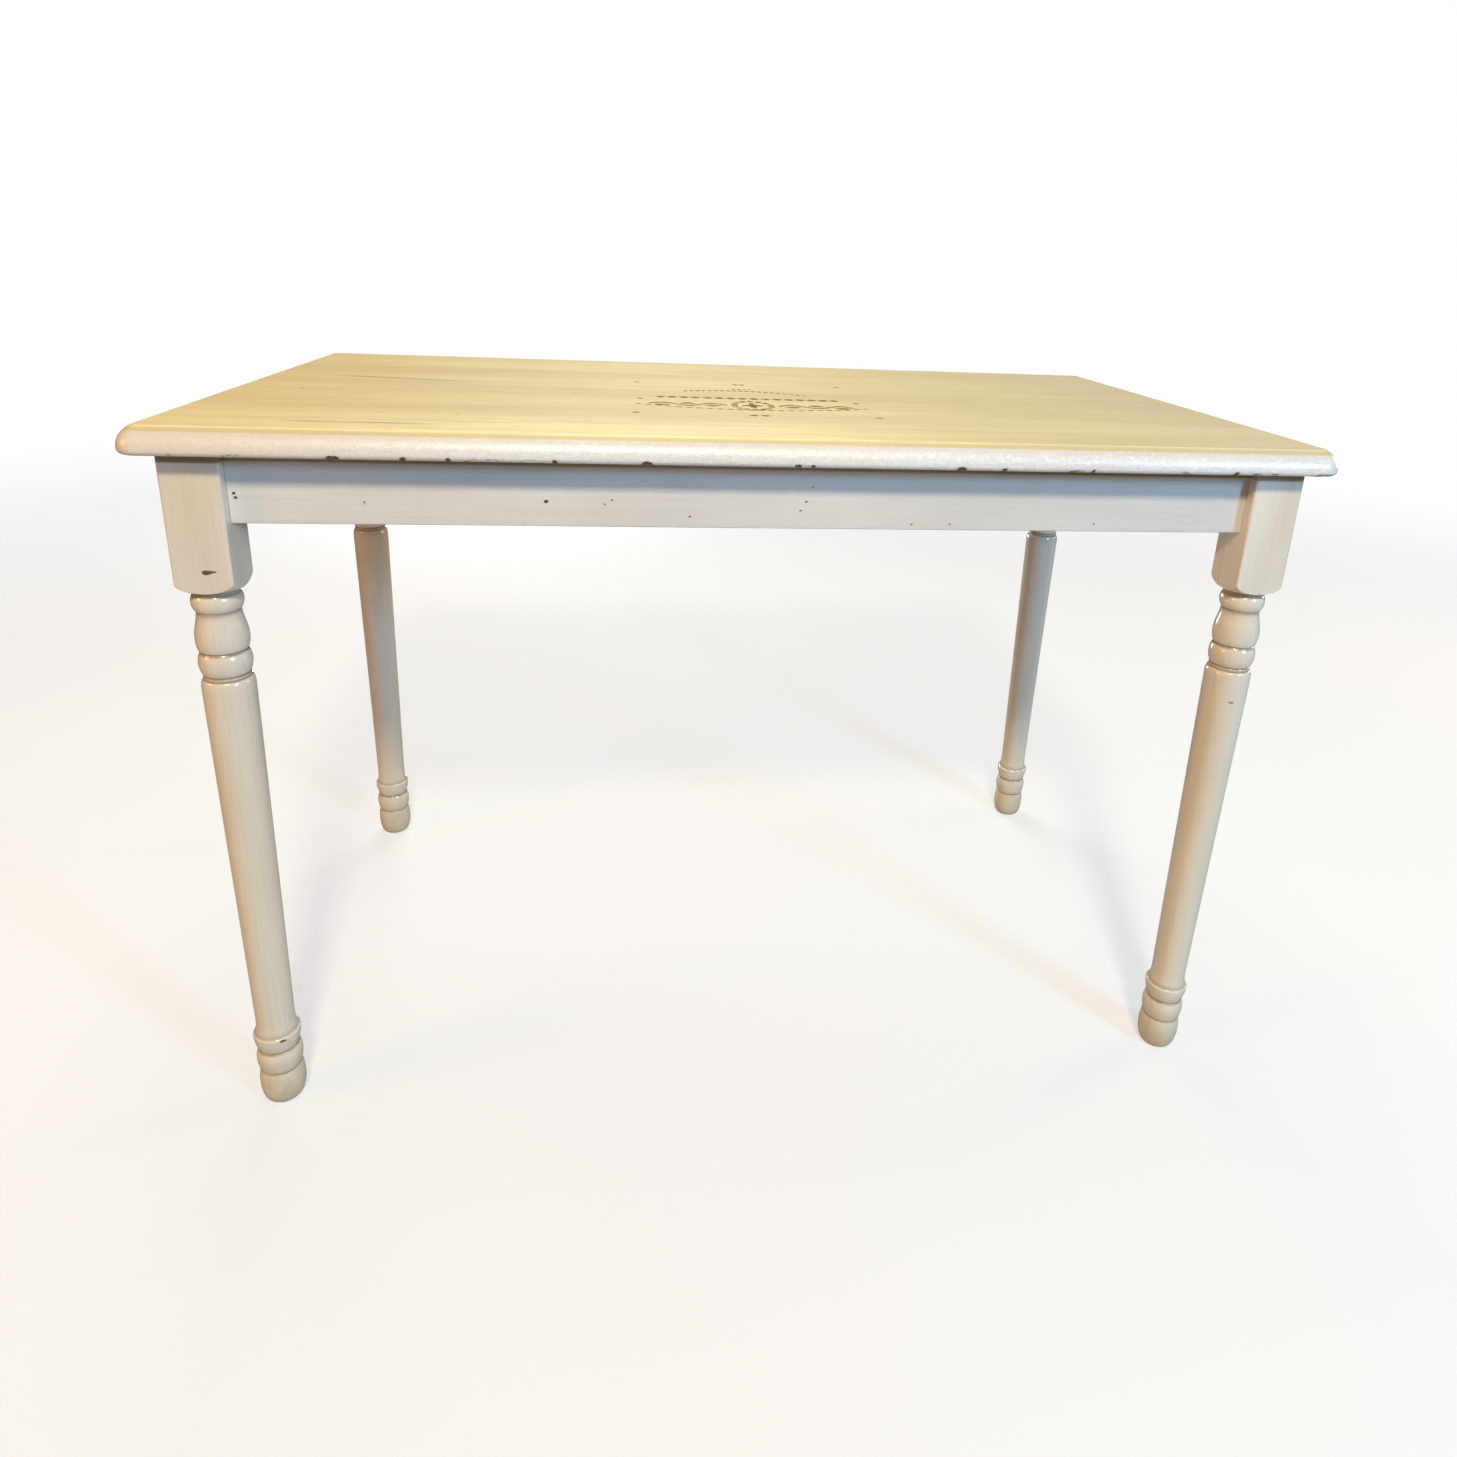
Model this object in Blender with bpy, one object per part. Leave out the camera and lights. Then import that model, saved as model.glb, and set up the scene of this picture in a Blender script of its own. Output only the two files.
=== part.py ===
"""Small farmhouse dining table with four turned legs, as the separate pieces it is assembled from.

Units are metres and +Z is up. X runs along the table, Y across it, and the front is at -Y.
The origin is on the floor, under the middle of the top.
"""

import math

import bmesh
import bpy
from mathutils import Matrix

# Gap kept between pieces that touch.
GAP = 0.0003

# Tabletop: boards glued edge to edge, with a moulded rim.
TABLE_HEIGHT = 0.750
TOP_LENGTH = 1.134
TOP_WIDTH = 0.654
TOP_THICKNESS = 0.025
TOP_CORNER_RADIUS = 0.020
BOARD_COUNT = 5
NOSE_RUN = 0.014
NOSE_DROP = 0.019
RIM_LOWER_RADIUS = 0.005

# Legs: a square block above a turned spindle.
OVERHANG = 0.025
LEG_SQUARE = 0.0515
LEG_EDGE_ROUND = 0.002
POMMEL_TOP = 0.609
POMMEL_DROP = 0.0155
POMMEL_OUTER_RADIUS = 0.0368
NECK_RADIUS = 0.0203
SPINDLE_OVERLAP = 0.020

# Aprons: boards on edge between the legs.
APRON_HEIGHT = 0.067
APRON_THICKNESS = 0.019
APRON_SETBACK = 0.0125
APRON_EDGE_ROUND = 0.001

# Corner blocks: braces set across each corner, at 45 degrees.
BLOCK_THICKNESS = 0.022
BLOCK_HEIGHT = 0.045
BLOCK_LEG_CLEARANCE = 0.003

# Hanger bolt with its washer and nut.
BOLT_RADIUS = 0.004
BOLT_IN_LEG = 0.042
BOLT_TAIL = 0.007
BOLT_TIP = 0.003
WASHER_RADIUS = 0.011
WASHER_THICKNESS = 0.0016
NUT_ACROSS_FLATS = 0.013
NUT_HEIGHT = 0.0065

# Wood screws: (head radius, head height, shank radius, length).
BRACE_SCREW = (0.0038, 0.0024, 0.0017, 0.020)
TOP_SCREW = (0.0042, 0.0028, 0.0021, 0.045)
BATTEN_SCREW = (0.0042, 0.0028, 0.0021, 0.032)
SCREW_TIP = 0.004
BRACE_SCREW_SEAT = 0.008
TOP_SCREW_SEAT = 0.015
TOP_SCREW_OFFSET = 0.022

# Batten across the middle of the underside.
BATTEN_WIDTH = 0.050
BATTEN_THICKNESS = 0.020
BATTEN_END_CLEARANCE = 0.004
BATTEN_SCREW_END_DISTANCE = 0.018

# Facets.
SPINDLE_SEGMENTS = 16
HARDWARE_SEGMENTS = 12
ARC_STEPS = 3

# Places that follow from the sizes above.
UNDERSIDE = TABLE_HEIGHT - TOP_THICKNESS
LEG_X = TOP_LENGTH / 2 - OVERHANG - LEG_SQUARE / 2
LEG_Y = TOP_WIDTH / 2 - OVERHANG - LEG_SQUARE / 2
HALF_LEG = LEG_SQUARE / 2
APRON_FACE = HALF_LEG - APRON_SETBACK
APRON_BACK = APRON_FACE - APRON_THICKNESS
BOARD_WIDTH = TOP_WIDTH / BOARD_COUNT
BLOCK_Z = UNDERSIDE - GAP - BLOCK_HEIGHT / 2
DIAGONAL = math.sqrt(2.0)
LEG_CORNER = -HALF_LEG * DIAGONAL
BLOCK_OUTER = LEG_CORNER - BLOCK_LEG_CLEARANCE
BLOCK_INNER = BLOCK_OUTER - BLOCK_THICKNESS

# Finishes: (red, green, blue), roughness, metallic.
FINISHES = {
    "top_paint": ((0.80, 0.69, 0.47), 0.42, 0.0),
    "leg_paint": ((0.76, 0.72, 0.63), 0.34, 0.0),
    "apron_paint": ((0.76, 0.73, 0.67), 0.38, 0.0),
    "raw_wood": ((0.62, 0.43, 0.25), 0.70, 0.0),
    "zinc_steel": ((0.60, 0.61, 0.62), 0.35, 1.0),
}


def remove_everything():
    """Clears the scene's objects."""
    for scene_object in list(bpy.data.objects):
        bpy.data.objects.remove(scene_object)


def make_material(name):
    """Makes one finish as a Principled material."""
    color, roughness, metallic = FINISHES[name]
    material = bpy.data.materials.new(name)
    material.use_nodes = True
    shader = material.node_tree.nodes["Principled BSDF"]
    shader.inputs["Base Color"].default_value = (*color, 1.0)
    shader.inputs["Roughness"].default_value = roughness
    shader.inputs["Metallic"].default_value = metallic
    return material


def make_mesh(name, shape):
    """Turns a bmesh into a mesh with its faces pointing out."""
    bmesh.ops.recalc_face_normals(shape, faces=shape.faces)
    mesh = bpy.data.meshes.new(name)
    shape.to_mesh(mesh)
    shape.free()
    return mesh


def add_object(name, mesh, material=None, location=(0, 0, 0), rotation=(0, 0, 0)):
    """Links an object that shows a mesh."""
    made = bpy.data.objects.new(name, mesh)
    made.location = location
    made.rotation_euler = rotation
    bpy.context.scene.collection.objects.link(made)
    if material:
        mesh.materials.clear()
        mesh.materials.append(material)
    return made


def as_cutter(tool):
    """Marks an object as a cutter, which isn't part of the table."""
    tool.hide_render = True
    tool.display_type = "WIRE"
    return tool


def combine(target, tool, operation):
    """Adds a Boolean modifier to the target."""
    modifier = target.modifiers.new(operation.lower(), "BOOLEAN")
    modifier.operation = operation
    modifier.solver = "EXACT"
    modifier.object = as_cutter(tool)


def settled_mesh(name, source, tools):
    """Returns the source's mesh with its modifiers applied, and removes the source and its tools."""
    bpy.context.view_layer.update()
    graph = bpy.context.evaluated_depsgraph_get()
    mesh = bpy.data.meshes.new_from_object(source.evaluated_get(graph))
    mesh.name = name
    for used in [source, *tools]:
        bpy.data.objects.remove(used)
    return mesh


def shade_round(mesh):
    """Shades a turned piece smooth, with its creases kept sharp."""
    mesh.shade_smooth()
    mesh.set_sharp_from_angle(angle=math.radians(35))


def box_mesh(name, low, high, edge_round=0.0):
    """Makes a box between two corners, with its long edges eased if edge_round is given."""
    shape = bmesh.new()
    bmesh.ops.create_cube(shape, size=1.0)
    size = [high[i] - low[i] for i in range(3)]
    middle = [(high[i] + low[i]) / 2 for i in range(3)]
    bmesh.ops.scale(shape, vec=size, verts=shape.verts)
    bmesh.ops.translate(shape, vec=middle, verts=shape.verts)
    if edge_round:
        longest = size.index(max(size))
        along = [
            edge
            for edge in shape.edges
            if abs(edge.verts[0].co[longest] - edge.verts[1].co[longest]) > size[longest] / 2
        ]
        bmesh.ops.bevel(shape, geom=along, offset=edge_round, segments=2, profile=0.5, affect="EDGES")
    return make_mesh(name, shape)


def turned_mesh(name, profile, segments):
    """Spins a profile of (radius, height) points about Z. A closed profile makes a ring."""
    shape = bmesh.new()
    points = [shape.verts.new((radius, 0.0, height)) for radius, height in profile]
    pairs = list(zip(points, points[1:]))
    if profile[0][0] > 0:
        pairs.append((points[-1], points[0]))
    edges = [shape.edges.new(pair) for pair in pairs]
    bmesh.ops.spin(
        shape,
        geom=points + edges,
        cent=(0, 0, 0),
        axis=(0, 0, 1),
        angle=2 * math.pi,
        steps=segments,
        use_merge=True,
    )
    bmesh.ops.remove_doubles(shape, verts=shape.verts, dist=0.000001)
    mesh = make_mesh(name, shape)
    shade_round(mesh)
    return mesh


def swell(start, end, steps=ARC_STEPS):
    """A quarter ellipse of (radius, height) points that leaves start level and reaches end upright."""
    angles = [math.pi / 2 * step / steps for step in range(1, steps + 1)]
    return [
        (
            start[0] + (end[0] - start[0]) * math.sin(angle),
            end[1] + (start[1] - end[1]) * math.cos(angle),
        )
        for angle in angles
    ]


def tuck(start, end, steps=ARC_STEPS):
    """A quarter ellipse of (radius, height) points that leaves start upright and reaches end level."""
    angles = [math.pi / 2 * step / steps for step in range(1, steps + 1)]
    return [
        (
            end[0] + (start[0] - end[0]) * math.cos(angle),
            start[1] + (end[1] - start[1]) * math.sin(angle),
        )
        for angle in angles
    ]


def bead(groove_below, widest, groove_above):
    """A rounded ring from the groove below it to the groove above it."""
    return swell(groove_below, widest) + tuck(widest, groove_above)


def spindle_profile():
    """The turned part of a leg, from the floor up: (radius, height) points."""
    floor_edge = (0.0150, 0.0)
    foot = (0.0231, 0.0236)
    foot_groove = (0.0204, 0.0412)
    ankle_bead = (0.0232, 0.0569)
    ankle_groove = (0.0200, 0.0677)
    ankle_lip = (0.0237, 0.0870)
    shaft_bottom = (0.0193, 0.1060)
    shaft_top = (0.0238, 0.4943)
    shaft_groove = (0.0202, 0.5077)
    upper_bead = (0.0236, 0.5206)
    vase_groove = (0.0202, 0.5319)
    vase = (0.0235, 0.5451)
    collar_groove = (0.0194, 0.5724)
    collar = (0.0226, 0.5812)
    neck = (NECK_RADIUS, 0.5890)
    inside_block = (NECK_RADIUS, POMMEL_TOP + SPINDLE_OVERLAP)
    profile = [(0.0, 0.0), floor_edge]
    profile += swell(floor_edge, foot)
    profile += tuck(foot, foot_groove)
    profile += bead(foot_groove, ankle_bead, ankle_groove)
    profile += swell(ankle_groove, ankle_lip)
    profile += tuck(shaft_bottom, ankle_lip)[-2::-1] + [shaft_bottom]
    profile += [shaft_top]
    profile += tuck(shaft_top, shaft_groove)
    profile += bead(shaft_groove, upper_bead, vase_groove)
    profile += bead(vase_groove, vase, collar_groove)
    profile += bead(collar_groove, collar, neck)
    profile += [inside_block, (0.0, inside_block[1])]
    return profile


def pommel_profile():
    """The turned surface that rounds off the lower end of a leg's square block."""
    lowest = (NECK_RADIUS, POMMEL_TOP - POMMEL_DROP)
    widest = (POMMEL_OUTER_RADIUS, POMMEL_TOP)
    above = (POMMEL_OUTER_RADIUS, TABLE_HEIGHT)
    return [(0.0, lowest[1]), lowest, *swell(lowest, widest, 6), above, (0.0, above[1])]


def screw_profile(kind, extra=0.0, seat=0.0):
    """A countersunk screw, head first. With extra it is the hole for that screw, open below its head."""
    head_radius, head_height, shank_radius, length = kind
    head = head_radius + extra
    shank = shank_radius + extra
    return [
        (0.0, -seat),
        (head, -seat),
        *([(head, 0.0)] if seat else []),
        (shank, head_height),
        (shank, length - SCREW_TIP),
        (0.0, length + extra),
    ]


def screw_mesh(name, kind):
    """A screw with its head at z = 0 and its tip above."""
    return turned_mesh(name, screw_profile(kind), HARDWARE_SEGMENTS)


def screw_hole(kind, seat, location, rotation):
    """A cutter for one screw's hole."""
    mesh = turned_mesh("screw_hole", screw_profile(kind, GAP, seat), HARDWARE_SEGMENTS)
    return add_object("screw_hole", mesh, None, location, rotation)


def rotation_along(angle):
    """The rotation that lays a piece made along +Z level, pointing at an angle in the XY plane."""
    return (0.0, math.pi / 2, angle)


# Every corner is the one at +X +Y turned by quarter turns about Z. In the corner's own frame the
# leg's axis is the origin, and the middle of the table lies towards -X -Y.
INWARD = math.radians(225)
CORNERS = {
    "back_right": (LEG_X, LEG_Y, 0),
    "back_left": (-LEG_X, LEG_Y, 1),
    "front_left": (-LEG_X, -LEG_Y, 2),
    "front_right": (LEG_X, -LEG_Y, 3),
}


def corner_frame(corner):
    """The matrix from a corner's own frame to the table's."""
    x, y, turns = CORNERS[corner]
    return Matrix.Translation((x, y, 0)) @ Matrix.Rotation(turns * math.pi / 2, 4, "Z")


def at_corner(corner, point):
    """A point in a corner's own frame, in the table's frame."""
    return corner_frame(corner) @ Matrix.Translation(point).to_translation()


def corner_turn(corner):
    """The corner's turn about Z, in radians."""
    return CORNERS[corner][2] * math.pi / 2


def on_diagonal(distance, along=0.0):
    """A point at a signed distance out along the corner's diagonal, and at an offset across it."""
    return (
        (distance - along) / DIAGONAL,
        (distance + along) / DIAGONAL,
        BLOCK_Z,
    )


def brace_screws():
    """Where a corner block's two level screws start and point: [(point, angle)]."""
    seat = APRON_BACK - BRACE_SCREW_SEAT
    middle = (BLOCK_INNER + BLOCK_OUTER) / 2 * DIAGONAL - APRON_BACK
    return [
        ((middle, seat, BLOCK_Z), math.radians(90)),
        ((seat, middle, BLOCK_Z), 0.0),
    ]


def top_screw_point():
    """Where a corner block's upright screw starts, on the corner's own frame."""
    x, y, _ = on_diagonal((BLOCK_INNER + BLOCK_OUTER) / 2, TOP_SCREW_OFFSET)
    return (x, y, BLOCK_Z - BLOCK_HEIGHT / 2 + TOP_SCREW_SEAT)


def batten_screw_ys():
    """Where the batten's screws are: one to each board, the outer two kept in from its ends."""
    reach = batten_half_length() - BATTEN_SCREW_END_DISTANCE
    middles = [(index - (BOARD_COUNT - 1) / 2) * BOARD_WIDTH for index in range(BOARD_COUNT)]
    return [max(-reach, min(reach, y)) for y in middles]


def batten_half_length():
    """Half the batten's length, which stops just short of the long aprons."""
    return LEG_Y + APRON_BACK - BATTEN_END_CLEARANCE


def rim_stations():
    """The moulded rim as (distance in from the rim, height) points, from the top down."""
    arc = [math.pi / 2 * step / ARC_STEPS for step in range(ARC_STEPS + 1)]
    nose = [
        (NOSE_RUN * (1 - math.sin(angle)), TABLE_HEIGHT - NOSE_DROP * (1 - math.cos(angle)))
        for angle in arc
    ]
    lower = [
        (RIM_LOWER_RADIUS * (1 - math.cos(angle)), UNDERSIDE + RIM_LOWER_RADIUS * (1 - math.sin(angle)))
        for angle in arc
    ]
    return nose + lower


def rounded_rectangle(length, width, radius):
    """The outline of a rectangle with round corners, anticlockwise, as (x, y) points."""
    points = []
    for quarter in range(4):
        side_x = 1 if quarter in (0, 3) else -1
        side_y = 1 if quarter in (0, 1) else -1
        for step in range(ARC_STEPS + 1):
            angle = math.pi / 2 * (quarter + step / ARC_STEPS)
            x = side_x * (length / 2 - radius) + radius * math.cos(angle)
            y = side_y * (width / 2 - radius) + radius * math.sin(angle)
            points.append((x, y))
    return points


def tabletop_mesh():
    """The whole top as one solid: the rim's stations skinned from ring to ring."""
    shape = bmesh.new()
    rings = []
    for inset, height in rim_stations():
        outline = rounded_rectangle(
            TOP_LENGTH - 2 * inset, TOP_WIDTH - 2 * inset, TOP_CORNER_RADIUS - inset
        )
        rings.append([shape.verts.new((x, y, height)) for x, y in outline])
    for upper, lower in zip(rings, rings[1:]):
        for index in range(len(upper)):
            after = (index + 1) % len(upper)
            shape.faces.new((upper[index], lower[index], lower[after], upper[after]))
    shape.faces.new(rings[0])
    shape.faces.new(rings[-1])
    return make_mesh("tabletop", shape)


def make_boards(material):
    """Saws the top into its boards, numbered from the front, and drills them from below."""
    whole = tabletop_mesh()
    for index in range(BOARD_COUNT):
        front = -TOP_WIDTH / 2 + index * BOARD_WIDTH
        back = front + BOARD_WIDTH
        low_y = front + GAP / 2 if index else front - BOARD_WIDTH
        high_y = back - GAP / 2 if index < BOARD_COUNT - 1 else back + BOARD_WIDTH
        saw = box_mesh("saw", (-TOP_LENGTH, low_y, 0.0), (TOP_LENGTH, high_y, 2 * TABLE_HEIGHT))
        board = add_object(f"top_board_{index + 1}", whole.copy(), material)
        combine(board, add_object("saw", saw), "INTERSECT")
        for corner in CORNERS:
            point = at_corner(corner, top_screw_point())
            if front < point.y < back:
                combine(board, screw_hole(TOP_SCREW, 0.0, point, (0, 0, 0)), "DIFFERENCE")
        hole = screw_hole(BATTEN_SCREW, 0.0, (0, batten_screw_ys()[index], batten_bottom()), (0, 0, 0))
        combine(board, hole, "DIFFERENCE")


def make_legs(material):
    """Four legs: a square block with a turned lower end, on a turned spindle."""
    block = box_mesh(
        "leg_block",
        (-HALF_LEG, -HALF_LEG, POMMEL_TOP - 2 * POMMEL_DROP),
        (HALF_LEG, HALF_LEG, UNDERSIDE - GAP),
        LEG_EDGE_ROUND,
    )
    leg = add_object("leg_block", block)
    pommel = add_object("pommel", turned_mesh("pommel", pommel_profile(), 2 * SPINDLE_SEGMENTS))
    spindle = add_object("spindle", turned_mesh("spindle", spindle_profile(), SPINDLE_SEGMENTS))
    bolt_hole = add_object(
        "bolt_hole",
        turned_mesh("bolt_hole", bolt_profile(GAP), HARDWARE_SEGMENTS),
        None,
        on_diagonal(LEG_CORNER + BOLT_IN_LEG),
        rotation_along(INWARD),
    )
    combine(leg, pommel, "INTERSECT")
    combine(leg, spindle, "UNION")
    combine(leg, bolt_hole, "DIFFERENCE")
    mesh = settled_mesh("leg", leg, [pommel, spindle, bolt_hole])
    shade_round(mesh)
    for corner in CORNERS:
        add_object(f"leg_{corner}", mesh, material, at_corner(corner, (0, 0, 0)), (0, 0, corner_turn(corner)))


def make_aprons(material):
    """Front, back, left and right aprons, with pilot holes for the corner blocks' screws."""
    bottom = UNDERSIDE - APRON_HEIGHT
    spans = {
        "long": (LEG_X, LEG_Y, {"apron_back": 0, "apron_front": 2}),
        "end": (LEG_Y, LEG_X, {"apron_left": 1, "apron_right": 3}),
    }
    for kind, (reach, distance, turns) in spans.items():
        half = reach - HALF_LEG - GAP
        mesh = box_mesh(
            f"apron_{kind}",
            (-half, distance + APRON_BACK, bottom),
            (half, distance + APRON_FACE, UNDERSIDE - GAP),
            APRON_EDGE_ROUND,
        )
        apron = add_object(f"apron_{kind}", mesh)
        point = brace_screws()[0][0]
        holes = [
            screw_hole(
                BRACE_SCREW,
                0.0,
                (side * (reach + point[0]), distance + point[1], point[2]),
                rotation_along(math.radians(90)),
            )
            for side in (-1, 1)
        ]
        for hole in holes:
            combine(apron, hole, "DIFFERENCE")
        settled = settled_mesh(f"apron_{kind}", apron, holes)
        for name, quarter_turns in turns.items():
            add_object(name, settled, material, (0, 0, 0), (0, 0, quarter_turns * math.pi / 2))


def make_corner_blocks(material):
    """Four mitred braces, drilled for the hanger bolt, two level screws and one upright screw."""
    contact = APRON_BACK - GAP
    near = BLOCK_OUTER * DIAGONAL - contact
    far = BLOCK_INNER * DIAGONAL - contact
    outline = [(near, contact), (far, contact), (contact, far), (contact, near)]
    shape = bmesh.new()
    bottom = [shape.verts.new((x, y, BLOCK_Z - BLOCK_HEIGHT / 2)) for x, y in outline]
    face = shape.faces.new(bottom)
    raised = bmesh.ops.extrude_face_region(shape, geom=[face])["geom"]
    lifted = [item for item in raised if isinstance(item, bmesh.types.BMVert)]
    bmesh.ops.translate(shape, vec=(0, 0, BLOCK_HEIGHT), verts=lifted)
    block = add_object("corner_block", make_mesh("corner_block", shape))
    tools = [
        add_object(
            "bolt_hole",
            turned_mesh("bolt_hole", bolt_profile(GAP), HARDWARE_SEGMENTS),
            None,
            on_diagonal(LEG_CORNER + BOLT_IN_LEG),
            rotation_along(INWARD),
        ),
        screw_hole(TOP_SCREW, 2 * TOP_SCREW_SEAT, top_screw_point(), (0, 0, 0)),
    ]
    for point, angle in brace_screws():
        tools.append(screw_hole(BRACE_SCREW, BLOCK_THICKNESS, point, rotation_along(angle)))
    for tool in tools:
        combine(block, tool, "DIFFERENCE")
    mesh = settled_mesh("corner_block", block, tools)
    for corner in CORNERS:
        place = at_corner(corner, (0, 0, 0))
        add_object(f"corner_block_{corner}", mesh, material, place, (0, 0, corner_turn(corner)))


def bolt_profile(extra=0.0):
    """The hanger bolt, or with extra its hole: pointed end in the leg at z = 0, threaded tail above."""
    length = bolt_length() + extra
    radius = BOLT_RADIUS + extra
    return [
        (0.0, -extra),
        (radius, BOLT_TIP - extra),
        (radius, length),
        (0.0, length),
    ]


def bolt_length():
    """From the tip inside the leg to the tail past the nut."""
    stack = BLOCK_LEG_CLEARANCE + BLOCK_THICKNESS + WASHER_THICKNESS + NUT_HEIGHT + 2 * GAP
    return BOLT_IN_LEG + stack + BOLT_TAIL


def ring_profile(inner, outer, height):
    """A plain ring's section, as a closed profile."""
    return [(inner, 0.0), (outer, 0.0), (outer, height), (inner, height)]


def nut_mesh():
    """A hexagon nut with a clear bore, its lower face at z = 0."""
    shape = bmesh.new()
    corner_radius = NUT_ACROSS_FLATS / 2 / math.cos(math.pi / 6)
    bmesh.ops.create_cone(
        shape, cap_ends=True, segments=6, radius1=corner_radius, radius2=corner_radius, depth=NUT_HEIGHT
    )
    bmesh.ops.translate(shape, vec=(0, 0, NUT_HEIGHT / 2), verts=shape.verts)
    nut = add_object("nut", make_mesh("nut", shape))
    bore_radius = BOLT_RADIUS + GAP
    bore_profile = [
        (0.0, -NUT_HEIGHT),
        (bore_radius, -NUT_HEIGHT),
        (bore_radius, 2 * NUT_HEIGHT),
        (0.0, 2 * NUT_HEIGHT),
    ]
    bore = add_object("bore", turned_mesh("bore", bore_profile, HARDWARE_SEGMENTS))
    combine(nut, bore, "DIFFERENCE")
    return settled_mesh("nut", nut, [bore])


def make_leg_hardware(material):
    """A hanger bolt, washer and nut at each corner."""
    bolt = turned_mesh("hanger_bolt", bolt_profile(), HARDWARE_SEGMENTS)
    washer_profile = ring_profile(BOLT_RADIUS + GAP, WASHER_RADIUS, WASHER_THICKNESS)
    washer = turned_mesh("washer", washer_profile, 2 * HARDWARE_SEGMENTS)
    nut = nut_mesh()
    washer_seat = BLOCK_INNER - GAP
    nut_seat = washer_seat - WASHER_THICKNESS - GAP
    starts = {
        "hanger_bolt": (bolt, LEG_CORNER + BOLT_IN_LEG),
        "washer": (washer, washer_seat),
        "nut": (nut, nut_seat),
    }
    for corner in CORNERS:
        rotation = rotation_along(INWARD + corner_turn(corner))
        for name, (mesh, distance) in starts.items():
            place = at_corner(corner, on_diagonal(distance))
            add_object(f"{name}_{corner}", mesh, material, place, rotation)


def make_screws(material):
    """The corner blocks' level and upright screws, and the batten's screws."""
    brace = screw_mesh("brace_screw", BRACE_SCREW)
    top = screw_mesh("top_screw", TOP_SCREW)
    batten = screw_mesh("batten_screw", BATTEN_SCREW)
    for corner in CORNERS:
        for side, (point, angle) in zip("ab", brace_screws()):
            rotation = rotation_along(angle + corner_turn(corner))
            add_object(f"brace_screw_{corner}_{side}", brace, material, at_corner(corner, point), rotation)
        add_object(f"top_screw_{corner}", top, material, at_corner(corner, top_screw_point()))
    for index, y in enumerate(batten_screw_ys()):
        add_object(f"batten_screw_{index + 1}", batten, material, (0, y, batten_bottom()))


def batten_bottom():
    """The height of the batten's lower face."""
    return UNDERSIDE - GAP - BATTEN_THICKNESS


def make_batten(material):
    """A flat batten under the middle of the top, which keeps the boards level with each other."""
    half = batten_half_length()
    mesh = box_mesh(
        "top_batten",
        (-BATTEN_WIDTH / 2, -half, batten_bottom()),
        (BATTEN_WIDTH / 2, half, UNDERSIDE - GAP),
        APRON_EDGE_ROUND,
    )
    batten = add_object("top_batten", mesh, material)
    for y in batten_screw_ys():
        hole = screw_hole(BATTEN_SCREW, BATTEN_THICKNESS, (0, y, batten_bottom()), (0, 0, 0))
        combine(batten, hole, "DIFFERENCE")


def main():
    """Builds the whole table."""
    remove_everything()
    finishes = {name: make_material(name) for name in FINISHES}
    make_boards(finishes["top_paint"])
    make_legs(finishes["leg_paint"])
    make_aprons(finishes["apron_paint"])
    make_corner_blocks(finishes["raw_wood"])
    make_batten(finishes["raw_wood"])
    make_leg_hardware(finishes["zinc_steel"])
    make_screws(finishes["zinc_steel"])


main()
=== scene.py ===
"""Finished look of a small painted farmhouse table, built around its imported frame.

Lengths are metres in the frame's own axes: +X along the table, +Y to its back, +Z up.
"""

import logging
import math
from dataclasses import dataclass, field
from enum import Enum, auto
from functools import reduce
from typing import Any, Callable, Iterable, Sequence

import bpy
import numpy as np
from mathutils import Matrix, Vector


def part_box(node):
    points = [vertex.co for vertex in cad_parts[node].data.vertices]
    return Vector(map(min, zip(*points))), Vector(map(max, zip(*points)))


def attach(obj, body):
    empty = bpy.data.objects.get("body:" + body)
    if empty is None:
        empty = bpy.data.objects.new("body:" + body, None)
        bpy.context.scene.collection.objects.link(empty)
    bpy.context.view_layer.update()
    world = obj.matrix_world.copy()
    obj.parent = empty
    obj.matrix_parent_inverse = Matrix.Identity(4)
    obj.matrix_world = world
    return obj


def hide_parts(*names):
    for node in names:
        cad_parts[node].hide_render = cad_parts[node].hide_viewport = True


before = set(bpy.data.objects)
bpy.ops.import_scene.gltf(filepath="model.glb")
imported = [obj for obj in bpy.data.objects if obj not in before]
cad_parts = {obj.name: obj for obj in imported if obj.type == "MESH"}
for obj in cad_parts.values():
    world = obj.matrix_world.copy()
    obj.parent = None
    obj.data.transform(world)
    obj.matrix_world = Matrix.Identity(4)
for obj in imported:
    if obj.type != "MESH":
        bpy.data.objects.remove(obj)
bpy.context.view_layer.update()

LOG = logging.getLogger("farmhouse_table")
BODY = "root"
Color = tuple[float, float, float]
Triple = tuple[float, float, float]
Pair = tuple[float, float]
CORNERS = ("front_left", "front_right", "back_left", "back_right")


# ---------------------------------------------------------------- shader maths


def operation(name: str, swapped: bool = False) -> Callable[["Signal", "Number"], "Signal"]:
    """Makes a method of two operands that adds a Math node.

    Args:
        name: The node's operation.
        swapped: Whether the method's own signal is the second operand.

    Returns:
        The method.
    """

    def method(self: "Signal", other: "Number") -> "Signal":
        """Adds the node and returns its output."""
        return self.tree.math(name, other, self) if swapped else self.tree.math(name, self, other)

    return method


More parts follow.
